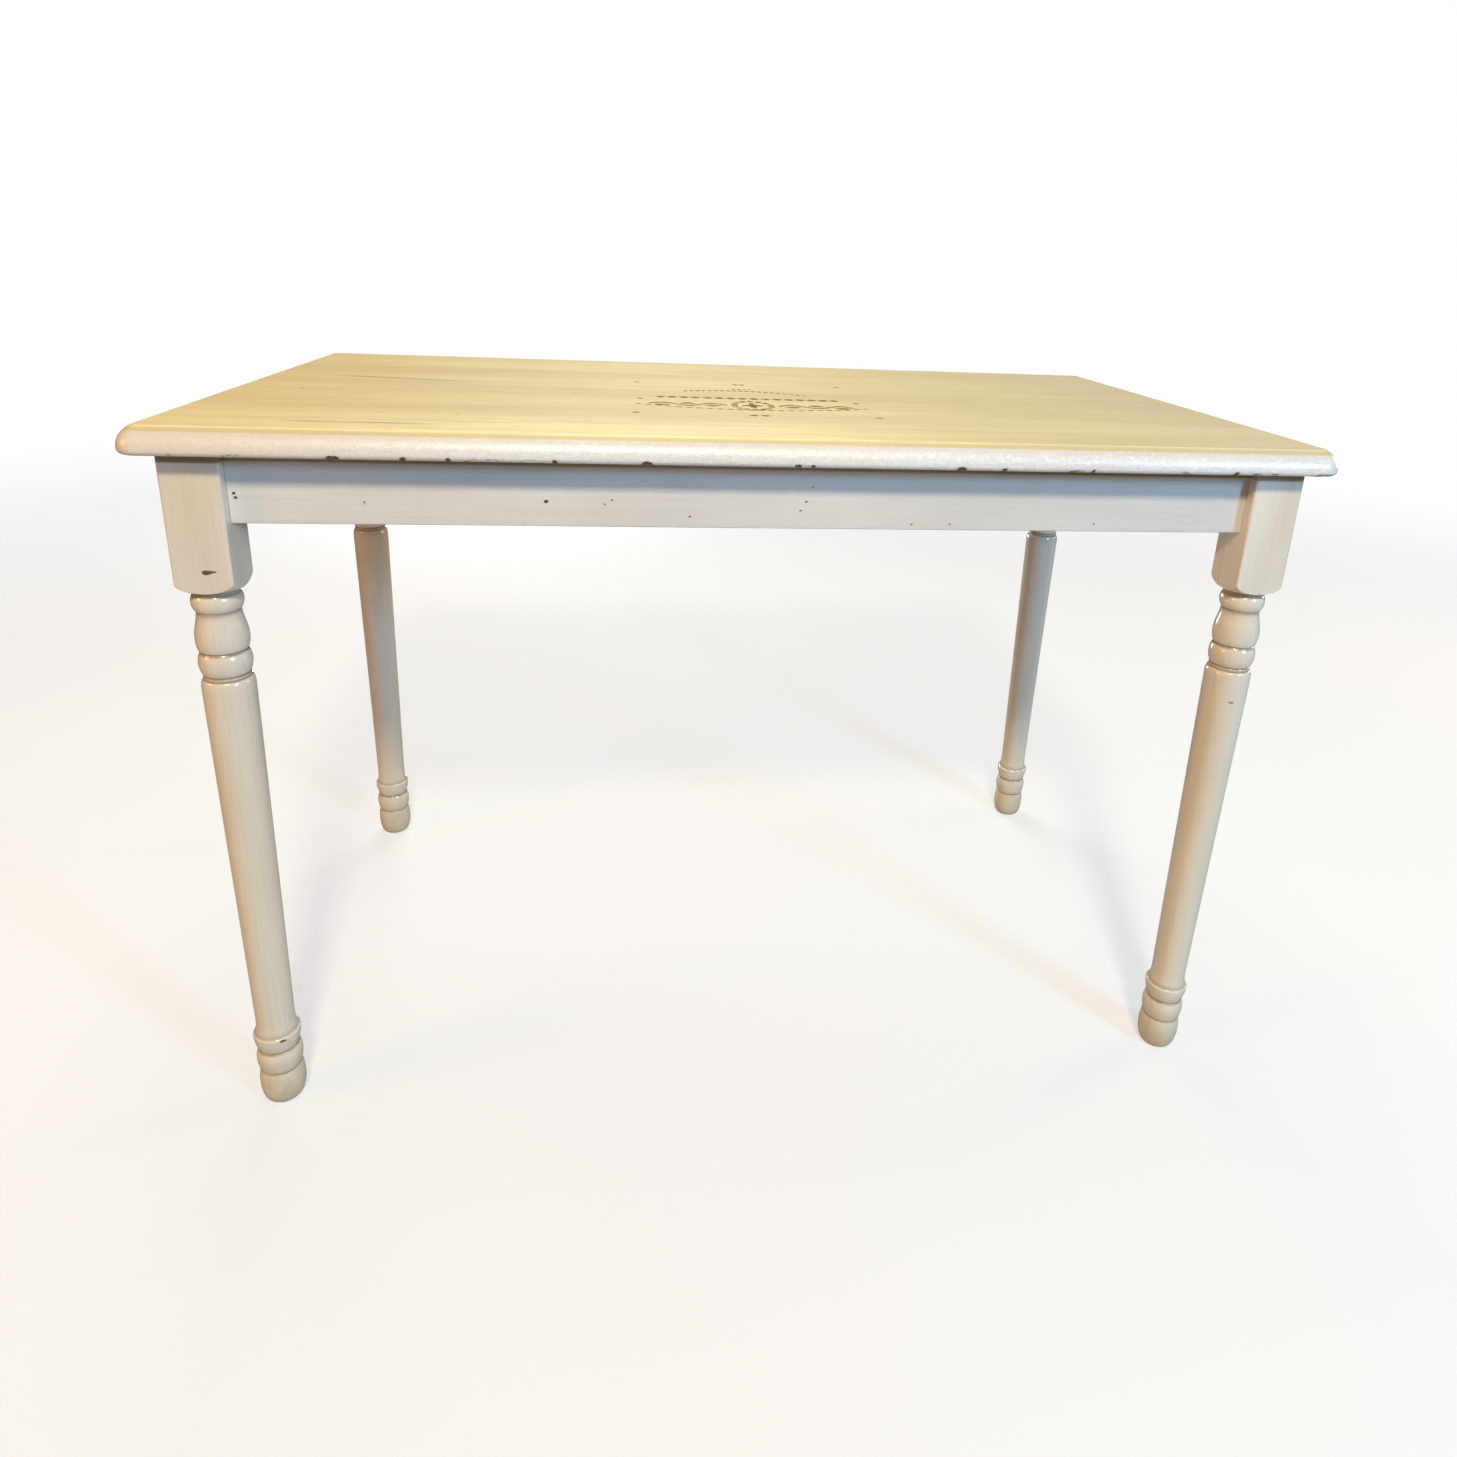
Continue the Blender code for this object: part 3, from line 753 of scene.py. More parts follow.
def swelling(start: Pair, end: Pair, power: float = 0.72, count: int = 20) -> np.ndarray:
    """A rounded side, without its start: radius grows as a power of a quarter sine of the height."""
    share = np.linspace(0, 1, count + 1)[1:] ** 1.4
    return between(start, end, np.sin(share * math.pi / 2) ** power, share)


def flowing(start: Pair, end: Pair, count: int = 20) -> np.ndarray:
    """An S curve, upright at both ends: radius follows half of one minus the cosine."""
    share = np.linspace(0, 1, count + 1)[1:]
    return between(start, end, (1 - np.cos(math.pi * share)) / 2, share)


def turned(profile: np.ndarray, segments: int) -> np.ndarray:
    """Rows of points from a (radius, height) profile turned about Z: (r cos a, r sin a, z)."""
    angle = np.linspace(0, 2 * math.pi, segments, endpoint=False)
    radius, height = profile[:, :1], profile[:, 1:]
    flat = np.ones_like(angle)
    return np.stack([radius * np.cos(angle), radius * np.sin(angle), height * flat], axis=-1)


def laid(rows: np.ndarray, start: Vector, direction: Vector) -> np.ndarray:
    """Moves rows made about +Z so that Z points along direction and the origin is at start."""
    turn = np.array(direction.to_track_quat("Z", "Y").to_matrix())
    return rows @ turn.T + np.array(start)


def stacked(plan: np.ndarray, levels: np.ndarray) -> np.ndarray:
    """Lifts each row of a (row, point, 2) plan to its own level."""
    heights = np.broadcast_to(levels[:, None, None], (*plan.shape[:2], 1))
    return np.concatenate([plan, heights], axis=-1)


def carried(section: np.ndarray, places: np.ndarray, run: int) -> np.ndarray:
    """Repeats a section of (across, height) points at each place along the level axis run."""
    rows = np.zeros((len(places), len(section), 3))
    rows[..., run] = places[:, None]
    rows[..., 1 - run] = section[:, 0]
    rows[..., 2] = section[:, 1]
    return rows


def thread_phase(rows: np.ndarray, pitch: float) -> np.ndarray:
    """How far each point is from one thread to the next: its height in pitches less its turn."""
    turn = np.arctan2(rows[..., 1], rows[..., 0]) / (2 * math.pi)
    return (rows[..., 2] / pitch - turn) % 1.0


def eased_rectangle(low: Pair, high: Pair, ease: float, steps: int, along: int) -> np.ndarray:
    """A rectangle's outline with round corners, anticlockwise.

    Each corner is an arc of radius ease about a centre that far in from both sides.

    Args:
        low: Its lowest corner.
        high: Its highest corner.
        ease: Radius of its corners.
        steps: Edges in each arc.
        along: Points in each side between its arcs.

    Returns:
        The outline, as (point, 2).
    """
    middle = (np.array(low) + np.array(high)) / 2
    half = (np.array(high) - np.array(low)) / 2 - ease
    centres = middle + np.array([(1, 1), (-1, 1), (-1, -1), (1, -1)]) * half
    angle = math.pi / 2 * (np.arange(4)[:, None] + np.linspace(0, 1, steps + 1))
    arcs = centres[:, None] + ease * np.stack([np.cos(angle), np.sin(angle)], axis=-1)
    ends, starts = arcs[:, -1:], np.roll(arcs[:, :1], -1, axis=0)
    sides = ends + (starts - ends) * np.linspace(0, 1, along + 2)[1:-1, None]
    return np.concatenate([arcs, sides], axis=1).reshape(-1, 2)


def ripple(x: np.ndarray, y: np.ndarray | float, size: float) -> np.ndarray:
    """A gentle unevenness: three sines of unlike length along x + 1.7 y, of the given size."""
    along = x + 1.7 * y
    return size * (np.sin(61 * along) + 0.6 * np.sin(173 * along + 1.3) + 0.4 * np.sin(419 * along + 0.4)) / 2


def placed(name: str, data: bpy.types.ID) -> bpy.types.Object:
    """Makes an object in the scene."""
    made = bpy.data.objects.new(name, data)
    bpy.context.scene.collection.objects.link(made)
    return made


def show(piece_name: str, mesh: bpy.types.Mesh, node: str, slot: str, *materials: bpy.types.Material) -> None:
    """Makes a finished piece that stands for a node of the frame.

    Args:
        piece_name: The piece's name.
        mesh: Its mesh, already in place.
        node: The node that it stands for.
        slot: The record's material slot; not used.
        *materials: Its materials, in slot order.
    """
    piece = placed(piece_name, mesh)
    for material in materials:
        mesh.materials.append(material)
    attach(piece, BODY)
    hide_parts(node)
    LOG.info("%s: %d faces, stands for %s", piece_name, len(mesh.polygons), node)


def drilled(mesh: bpy.types.Mesh, holes: Sequence[bpy.types.Mesh]) -> bpy.types.Mesh:
    """Cuts holes through a mesh.

    Args:
        mesh: The mesh.
        holes: Closed meshes of the holes' shapes.

    Returns:
        The drilled mesh, shaded smooth between its sharp edges.
    """
    block = placed("block", mesh)
    tools = [placed("drill", hole) for hole in holes]
    for tool in tools:
        cut = block.modifiers.new("hole", "BOOLEAN")
        cut.operation = "DIFFERENCE"
        cut.object = tool
    bpy.context.view_layer.update()
    result = bpy.data.meshes.new_from_object(block.evaluated_get(bpy.context.evaluated_depsgraph_get()))
    for used in [block, *tools]:
        bpy.data.objects.remove(used)
    result.shade_smooth()
    result.set_sharp_from_angle(angle=math.radians(28))
    return result


# ---------------------------------------------------------------- sub-assemblies


@dataclass
class Tabletop:
    """Boards edge to edge, whose outer edges share one moulded rim.

    Attributes:
        board_count: How many boards there are.
        corner_radius: Radius of the top's corners, seen from above.
        nose_run: How far in from the rim its upper round starts.
        nose_drop: How far down the upper round goes.
        nose_start: Where on its ellipse the upper round starts, which leaves an arris.
        lower_radius: Radius of the round below.
        seam: Gap at the joints between boards.
    """

    board_count: int = 5
    corner_radius: float = 0.020
    nose_run: float = 0.014
    nose_drop: float = 0.0195
    nose_start: float = math.radians(30)
    lower_radius: float = 0.005
    seam: float = 0.00008
    low: Vector = field(init=False)
    high: Vector = field(init=False)

    def __post_init__(self) -> None:
        """Reads the top's box from its first and last boards."""
        self.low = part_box("top_board_1")[0]
        self.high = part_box(f"top_board_{self.board_count}")[1]

    def stations(self) -> np.ndarray:
        """The rim's section as (inset, height) points from the top down.

        The upper round is an ellipse from its start angle to upright, stretched to its run and
        drop; the lower one is a quarter circle.
        """
        angle = np.linspace(self.nose_start, math.pi / 2, 22)
        first_sine, first_cosine = math.sin(self.nose_start), math.cos(self.nose_start)
        inset = self.nose_run * (1 - (np.sin(angle) - first_sine) / (1 - first_sine))
        height = self.high[2] - self.nose_drop * (1 - np.cos(angle) / first_cosine)
        angle = np.linspace(0, math.pi / 2, 9)
        lower_inset = self.lower_radius * (1 - np.cos(angle))
        lower_height = self.low[2] + self.lower_radius * (1 - np.sin(angle))
        upper, lower = np.stack([inset, height], axis=-1), np.stack([lower_inset, lower_height], axis=-1)
        return np.concatenate([upper, lower])

    def corner(self, quarter: int) -> tuple[np.ndarray, np.ndarray]:
        """A corner's arc at the rim and its outward directions; quarter 0 is right and back."""
        angle = math.pi / 2 * (quarter + np.linspace(0, 1, 17))
        out = np.stack([np.cos(angle), np.sin(angle)], axis=-1)
        centre_x = (self.high[0] - self.corner_radius) * (1 if quarter in (0, 3) else -1)
        centre_y = (self.high[1] - self.corner_radius) * (1 if quarter in (0, 1) else -1)
        return np.array([centre_x, centre_y]) + self.corner_radius * out, out

    def straight(self, start: Pair, end: Pair, out: Pair, count: int) -> tuple[np.ndarray, np.ndarray]:
        """Points from start to end of a straight rim, and their outward direction."""
        points = np.array(start) + (np.array(end) - np.array(start)) * np.linspace(0, 1, count)[:, None]
        return points, np.tile(np.array(out, float), (count, 1))

    def outline(self, front: float, back: float) -> tuple[np.ndarray, np.ndarray]:
        """A board's rim, anticlockwise from above, and its outward directions.

        Args:
            front: The board's front edge along Y.
            back: Its back edge along Y.

        Returns:
            The points and the directions, each as (point, 2).
        """
        right, left, radius = self.high[0], self.low[0], self.corner_radius
        stop = self.high[1] - radius
        is_front, is_back = front < -stop, back > stop
        low_y = -stop if is_front else front
        high_y = stop if is_back else back
        count = 60 if is_front or is_back else 70
        right_side = self.straight((right, low_y), (right, high_y), (1, 0), count)
        left_side = self.straight((left, high_y), (left, low_y), (-1, 0), count)
        if is_front:
            edge = self.straight((left + radius, front), (right - radius, front), (0, -1), 720)
            runs = [left_side, self.corner(2), edge, self.corner(3), right_side]
        elif is_back:
            edge = self.straight((right - radius, back), (left + radius, back), (0, 1), 720)
            runs = [right_side, self.corner(0), edge, self.corner(1), left_side]
        else:
            runs = [right_side, left_side]
        points, out = (np.concatenate(arrays) for arrays in zip(*runs))
        same = np.linalg.norm(points - np.roll(points, 1, axis=0), axis=1) < 1e-7
        return points[~same], out[~same]

    def dents(self, points: np.ndarray, heights: np.ndarray) -> np.ndarray:
        """How far the rim is knocked in: bells about each front chip, and a slight waviness.

        Args:
            points: The rim's points from above, as (point, 2).
            heights: The heights of its stations.

        Returns:
            The distances, as (station, point).
        """
        x, y = points[:, 0], points[:, 1]
        depth = np.zeros((len(heights), len(points)))
        near_front = np.exp(-(((y - self.low[1]) / 0.006) ** 2))
        for centre, reach in RIM_CHIPS:
            across = np.exp(-(((x - centre) / (reach * 0.9)) ** 4)) * near_front
            up = np.exp(-(((heights - self.low[2]) / 0.0034) ** 2))
            depth += 0.0011 * up[:, None] * across
        return depth + ripple(x, y, 0.00010)

    def board_mesh(self, name: str, front: float, back: float) -> bpy.types.Mesh:
        """One board: its rim's stations from the underside up, capped by its flat faces.

        Args:
            name: The mesh's name.
            front: The board's front edge along Y.
            back: Its back edge along Y.

        Returns:
            The mesh, whose underside takes the second material.
        """
        outline, out = self.outline(front, back)
        stations = self.stations()[::-1]
        inset = stations[:, 0][:, None] + self.dents(outline, stations[:, 1])
        plan = outline[None] - out[None] * inset[..., None]
        plan[..., 1] = np.clip(plan[..., 1], front, back)
        mesh = skin(name, stacked(plan, stations[:, 1]))
        mesh.polygons[len(mesh.polygons) - 2].material_index = 1
        return mesh

    def build(self) -> None:
        """Makes the boards, painted above and at the rim, bare below."""
        paint = TabletopPaint(tuple(self.low), tuple(self.high)).material()
        bare = BareWood("board_underside", Grain.LENGTHWISE).material()
        width = (self.high[1] - self.low[1]) / self.board_count
        for number in range(1, self.board_count + 1):
            front = self.low[1] + (number - 1) * width + (self.seam if number > 1 else 0)
            back = self.low[1] + number * width - (self.seam if number < self.board_count else 0)
            mesh = self.board_mesh(f"painted_board_{number}", front, back)
            show(f"painted_top_board_{number}", mesh, f"top_board_{number}", "top_paint", paint, bare)


@dataclass
class TurnedLeg:
    """A leg from one length of wood: a square block above a turned spindle.

    Heights are above the floor, radii are from the leg's own axis, each pair (radius, height).

    Attributes:
        corner: Which corner of the table it stands at.
        edge_round: Radius of the block's eased edges.
        pommel: Where the block's turned lower end is widest.
        pommel_drop: How far down the pommel goes from there.
    """

    corner: str
    edge_round: float = 0.0022
    pommel: Pair = (0.0368, 0.6090)
    pommel_drop: float = 0.0155
    floor_edge: Pair = (0.0150, 0.0)
    foot: Pair = (0.0231, 0.0236)
    foot_groove: Pair = (0.0202, 0.0412)
    ankle_bead: Pair = (0.0232, 0.0569)
    ankle_groove: Pair = (0.0199, 0.0677)
    ankle_lip: Pair = (0.0237, 0.0866)
    shaft_bottom: Pair = (0.0193, 0.1060)
    shaft_top: Pair = (0.0238, 0.4943)
    fillet: Pair = (0.0210, 0.5062)
    shaft_groove: Pair = (0.0200, 0.5077)
    upper_bead: Pair = (0.0236, 0.5206)
    vase_groove: Pair = (0.0200, 0.5319)
    vase: Pair = (0.0235, 0.5451)
    collar_groove: Pair = (0.0194, 0.5724)
    collar: Pair = (0.0226, 0.5812)
    neck: Pair = (0.0203, 0.5890)

    def bead(self, below: Pair, widest: Pair, above: Pair) -> np.ndarray:
        """A rounded ring from one groove to the next."""
        return np.concatenate([swelling(below, widest), swelling(above, widest)[-2::-1], [above]])

    def profile(self, block_top: float) -> np.ndarray:
        """The leg's outline from the floor up.

        Args:
            block_top: Height of the top of its block.

        Returns:
            The (radius, height) points.
        """
        lip_edge = (self.ankle_lip[0] - 0.0006, self.ankle_lip[1] + 0.0010)
        pommel_low = (self.neck[0], self.pommel[1] - self.pommel_drop)
        step_in = (self.fillet[0] - 0.0005, self.fillet[1] - 0.0020)
        cove = elliptic(self.shaft_bottom, lip_edge, False)[-2::-1]
        shaft = np.linspace(self.shaft_bottom, self.shaft_top, 40)
        levels = np.linspace(self.pommel[1], block_top, 10)[1:]
        block = np.array([(self.pommel[0], level) for level in levels])
        return np.concatenate(
            [
                [self.floor_edge],
                elliptic(self.floor_edge, self.foot, True),
                elliptic(self.foot, self.foot_groove, False),
                self.bead(self.foot_groove, self.ankle_bead, self.ankle_groove),
                swelling(self.ankle_groove, self.ankle_lip, 1.0),
                elliptic(self.ankle_lip, lip_edge, False, 5),
                cove,
                shaft,
                elliptic(self.shaft_top, step_in, False),
                [(self.fillet[0], step_in[1] + 0.0004), self.fillet],
                elliptic(self.fillet, self.shaft_groove, False, 5),
                self.bead(self.shaft_groove, self.upper_bead, self.vase_groove),
                elliptic(self.vase_groove, self.vase, True),
                flowing(self.vase, self.collar_groove, 30),
                self.bead(self.collar_groove, self.collar, self.neck),
                [pommel_low],
                elliptic(pommel_low, self.pommel, True, 60),
                block,
            ]
        )

    def square(self, half: float) -> np.ndarray:
        """The block's outline about its axis, with points evenly turned along each face.

        Args:
            half: Half the block's width.

        Returns:
            The outline, as (point, 2).
        """
        reach = math.atan2(half - self.edge_round, half)
        face = half * np.tan(np.linspace(-reach, reach, 30))
        side = np.stack([np.full_like(face, half), face], axis=-1)
        angle = np.linspace(0, math.pi / 2, 8)[1:-1]
        arc = half - self.edge_round + self.edge_round * np.stack([np.cos(angle), np.sin(angle)], axis=-1)
        quarter = np.concatenate([side, arc])
        turns = [math.pi / 2 * turn for turn in range(4)]
        matrices = [np.array([[math.cos(a), math.sin(a)], [-math.sin(a), math.cos(a)]]) for a in turns]
        return np.concatenate([quarter @ matrix for matrix in matrices])

    def form(self, profile: np.ndarray, square: np.ndarray, cut: np.ndarray) -> np.ndarray:
        """How far each point stands out from its surroundings, about -1 in grooves to 1 on crests.

        On the spindle it is the radius less its bell-weighted mean over a few millimetres of
        height; on the block it is 0.9 at the eased edges.

        Args:
            profile: The leg's outline, as (radius, height).
            square: The block's outline, as (point, 2).
            cut: Whether each point is turned.

        Returns:
            The values, as (row, point).
        """
        radius, height = np.minimum(profile[:, 0], 0.026), profile[:, 1]
        spacing = np.gradient(height) + 1e-5
        weight = np.exp(-(((height[:, None] - height[None]) / 0.0045) ** 2)) * spacing[None]
        stands = (radius - (weight @ radius) / weight.sum(axis=1)) / 0.0016
        edge = np.clip((np.abs(square).min(axis=1) / np.abs(square).max(axis=1) - 0.90) / 0.06, 0, 1)
        return np.where(cut, np.clip(stands, -1, 1)[:, None], edge[None] * 0.9)

    def build(self, paint: bpy.types.Material) -> None:
        """Makes the leg: each row of its outline is the square, cut back to the turned radius.

        Args:
            paint: Its finish.
        """
        node = f"leg_{self.corner}"
        low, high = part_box(node)
        middle = (low + high) / 2
        square = self.square((high[0] - low[0]) / 2)
        profile = self.profile(high[2])
        reach = np.linalg.norm(square, axis=1)
        share = np.minimum(1.0, profile[:, :1] / reach)
        plan = square * share[..., None] + np.array([middle[0], middle[1]])
        mesh = skin(f"turned_leg_{self.corner}", stacked(plan, profile[:, 1]))
        store(mesh, "form", self.form(profile, square, profile[:, :1] < reach))
        show(f"painted_leg_{self.corner}", mesh, node, "leg_paint", paint)


@dataclass
class Apron:
    """A board on edge between two legs, painted outside and bare inside.

    Attributes:
        side: Which side of the table it is on.
        grain: The axis it runs along.
        ease: Radius of its eased edges.
    """

    side: str
    grain: Grain
    ease: float = 0.0011

    def build(self, paint: bpy.types.Material, bare: bpy.types.Material) -> None:
        """Makes the apron: an eased rectangle carried along the board, a little uneven.

        Args:
            paint: The finish outside.
            bare: The finish inside.
        """
        node = f"apron_{self.side}"
        low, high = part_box(node)
        run = self.grain.value
        across = 1 - run
        section = eased_rectangle((low[across], low[2]), (high[across], high[2]), self.ease, 5, 12)
        places = np.linspace(low[run], high[run], 240)
        rows = carried(section, places, run)
        inward = -1 if low[across] > 0 else 1
        outer = section[:, 0] * inward < (low[across] + high[across]) / 2 * inward
        rows[..., across] += ripple(places, 0.0, 0.00012)[:, None] * outer * inward
        rows[..., 2] += ripple(places, 0.4, 0.00008)[:, None]
        inner_edge = low[across] if inward < 0 else high[across]
        inner_side = np.abs(section[:, 0] - inner_edge) < self.ease * 0.2
        mesh = skin(f"planed_apron_{self.side}", rows, second=inner_side & np.roll(inner_side, -1))
        near_edge = np.minimum(section[:, 1] - low[2], high[2] - section[:, 1]) < self.ease
        store(mesh, "form", np.broadcast_to(near_edge * 0.75, (len(places), len(section))))
        show(f"painted_apron_{self.side}", mesh, node, "apron_paint", paint, bare)


@dataclass
class Shank:
    """Where a round piece of hardware lies, worked out from its node's box.

    Attributes:
        node: The node.
    """

    node: str
    start: Vector = field(init=False)
    direction: Vector = field(init=False)
    radius: float = field(init=False)
    length: float = field(init=False)

    def __post_init__(self) -> None:
        """Finds the axis: upright, or level and pointing away from the table's middle.

        On a diagonal piece both level extents are (length + 2 radius) / root 2, and its height is
        the diameter.
        """
        low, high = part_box(self.node)
        extent = high - low
        middle = (low + high) / 2
        if self.is_diagonal(extent):
            self.radius = extent[2] / 2
            self.length = extent[0] * math.sqrt(2) - 2 * self.radius
            self.direction = Vector((math.copysign(1, middle[0]), math.copysign(1, middle[1]), 0)).normalized()
        else:
            axis = max(range(3), key=lambda index: extent[index])
            self.length = extent[axis]
            self.radius = extent[(axis + 1) % 3] / 2
            self.direction = Vector([0.0, 0.0, 0.0])
            self.direction[axis] = 1.0 if axis == 2 else math.copysign(1.0, middle[axis])
        self.start = middle - self.direction * self.length / 2

    @staticmethod
    def is_diagonal(extent: Vector) -> bool:
        """Whether a piece lies level across a corner: as long along X as along Y."""
        return abs(extent[0] - extent[1]) < 1e-4 and extent[2] < extent[0] * 1.5


@dataclass
class WoodScrew:
    """A countersunk screw with a cross recess and a real thread.

    Attributes:
        node: The node that it stands for.
        shank_share: Shank radius as a share of the head's.
        pitch: Distance between threads.
        segments: Points round it.
    """

    node: str
    shank_share: float = 0.48
    pitch: float = 0.0018
    segments: int = 40

    def rows(self, radius: float, length: float) -> np.ndarray:
        """The screw about +Z, head first.

        The recess is as deep as one less the fourth power of the smaller level distance over the
        slot's half width. The thread adds a ridge where its phase is near a half. The tip tapers
        as one less the square of its share.

        Args:
            radius: The head's radius.
            length: The screw's length.

        Returns:
            The rows of points.
        """
        shank = radius * self.shank_share
        core = shank * 0.80
        head_height = radius * 0.62
        tip = shank * 2.4
        disc = np.stack([np.linspace(0.02, 1, 16) * radius * 0.97, np.zeros(16)], axis=-1)
        rim = np.array([(radius, radius * 0.03), (radius, radius * 0.10)])
        cone = elliptic((radius, radius * 0.10), (shank, head_height), False, 6)
        body_height = np.arange(head_height + self.pitch, length - tip, self.pitch / 7)
        body = np.stack([np.full_like(body_height, core), body_height], axis=-1)
        share = np.linspace(0, 1, 12)[1:] * 0.985
        point = np.stack([core * (1 - share**2), length - tip + tip * share], axis=-1)
        rows = turned(np.concatenate([disc, rim, cone, body, point]), self.segments)
        ridge = np.clip(1 - np.abs(thread_phase(rows, self.pitch) - 0.5) * 5, 0, 1) * shank * 0.20
        threaded = (rows[..., 2] > head_height + self.pitch * 1.5) & (rows[..., 2] < length - tip * 0.5)
        scale = 1 + np.where(threaded, ridge, 0) / np.maximum(np.hypot(rows[..., 0], rows[..., 1]), 1e-6)
        rows[..., :2] *= scale[..., None]
        head = rows[: len(disc)]
        slot = np.abs(head[..., :2]).min(axis=-1) / (radius * 0.17)
        wide = np.hypot(head[..., 0], head[..., 1]) / (radius * 0.62)
        head[..., 2] += radius * 0.42 * np.clip(1 - slot**4, 0, 1) * np.clip(1 - wide**3, 0, 1)
        return rows

    def build(self, zinc: bpy.types.Material) -> Shank:
        """Makes the screw and returns where it lies."""
        shank = Shank(self.node)
        rows = laid(self.rows(shank.radius, shank.length), shank.start, shank.direction)
        show(f"zinc_{self.node}", skin(self.node + "_threaded", rows), self.node, "zinc_steel", zinc)
        return shank


@dataclass
class LegBolt:
    """The hanger bolt at one corner, with its washer and nut.

    Attributes:
        corner: Which corner it is at.
        pitch: Distance between the machine threads.
        thread_depth: How deep they are cut.
        segments: Points round it.
    """

    corner: str
    pitch: float = 0.00125
    thread_depth: float = 0.00058
    segments: int = 48

    def bolt_rows(self, radius: float, length: float) -> np.ndarray:
        """The bolt about +Z from its machine end: a cut thread whose depth follows a triangle wave.

        Args:
            radius: Its radius over the threads.
            length: Its length.

        Returns:
            The rows of points.
        """
        height = np.arange(0.0, length - 0.004, self.pitch / 8)
        profile = np.stack([np.full_like(height, radius), height], axis=-1)
        profile[:3, 0] -= radius * np.array([0.16, 0.10, 0.04])
        tip = elliptic((radius, height[-1]), (radius * 0.12, length), False, 8)
        rows = turned(np.concatenate([profile, tip]), self.segments)
        cut = np.abs(thread_phase(rows, self.pitch) * 2 - 1) * self.thread_depth
        distance = np.hypot(rows[..., 0], rows[..., 1])
        rows[..., :2] *= (1 - np.minimum(cut, distance * 0.5) / distance)[..., None]
        return rows

    def nut_rows(self, flat: float, bore: float, height: float) -> np.ndarray:
        """The nut about +Z: closed sections round a hexagon with its corners chamfered at 30 degrees.

        The hexagon's radius at a turn is half its width over the cosine of the turn from the
        nearest flat's middle.

        Args:
            flat: Half its width across flats.
            bore: Its hole's radius.
            height: Its height.

        Returns:
            The rows of points.
        """
        angle = np.linspace(0, 2 * math.pi, 96, endpoint=False)
        away = (angle + math.pi / 6) % (math.pi / 3) - math.pi / 6
        hexagon = flat / np.cos(away)
        rise = np.maximum(hexagon - flat * 1.01, 0) * math.tan(math.radians(30)) + 0.0001
        face = np.full_like(angle, flat * 0.97)
        hole = np.full_like(angle, bore)
        wide_hole = hole * 1.1
        floor = np.zeros_like(angle)
        top = floor + height
        radii = [hole, wide_hole, face, hexagon, hexagon, face, wide_hole, hole]
        heights = [floor + 0.0006, floor, floor, rise, top - rise, top, top, top - 0.0006]
        radius, level = np.stack(radii, axis=-1), np.stack(heights, axis=-1)
        return np.stack([radius * np.cos(angle)[:, None], radius * np.sin(angle)[:, None], level], axis=-1)

    def washer_rows(self, radius: float, bore: float, height: float) -> np.ndarray:
        """The washer about +Z: an eased rectangle turned round the bore."""
        section = eased_rectangle((bore, 0), (radius, height), height * 0.22, 4, 3)
        return turned(section, 96).transpose(1, 0, 2)

    def build(self, zinc: bpy.types.Material) -> Shank:
        """Makes the three pieces.

        Args:
            zinc: Their finish.

        Returns:
            Where the bolt lies.
        """
        bolt = Shank(f"hanger_bolt_{self.corner}")
        rows = laid(self.bolt_rows(bolt.radius, bolt.length), bolt.start, bolt.direction)
        show(f"zinc_{bolt.node}", skin(f"threaded_bolt_{self.corner}", rows), bolt.node, "zinc_steel", zinc)
        for kind, make in (("washer", self.washer_rows), ("nut", self.nut_rows)):
            node = f"{kind}_{self.corner}"
            low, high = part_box(node)
            extent = high - low
            thickness = self.thickness(extent, kind)
            start = (low + high) / 2 - bolt.direction * thickness / 2
            rows = laid(make(extent[2] / 2, bolt.radius * 1.04, thickness), start, bolt.direction)
            show(f"zinc_{node}", skin(f"pressed_{node}", rows, Ends.JOINED), node, "zinc_steel", zinc)
        return bolt

    @staticmethod
    def thickness(extent: Vector, kind: str) -> float:
        """A ring's thickness from its box: root 2 times a level extent, less its width across."""
        width = extent[2] if kind == "washer" else extent[2] / math.cos(math.pi / 6)
        return max(extent[0] * math.sqrt(2) - width, 0.001)


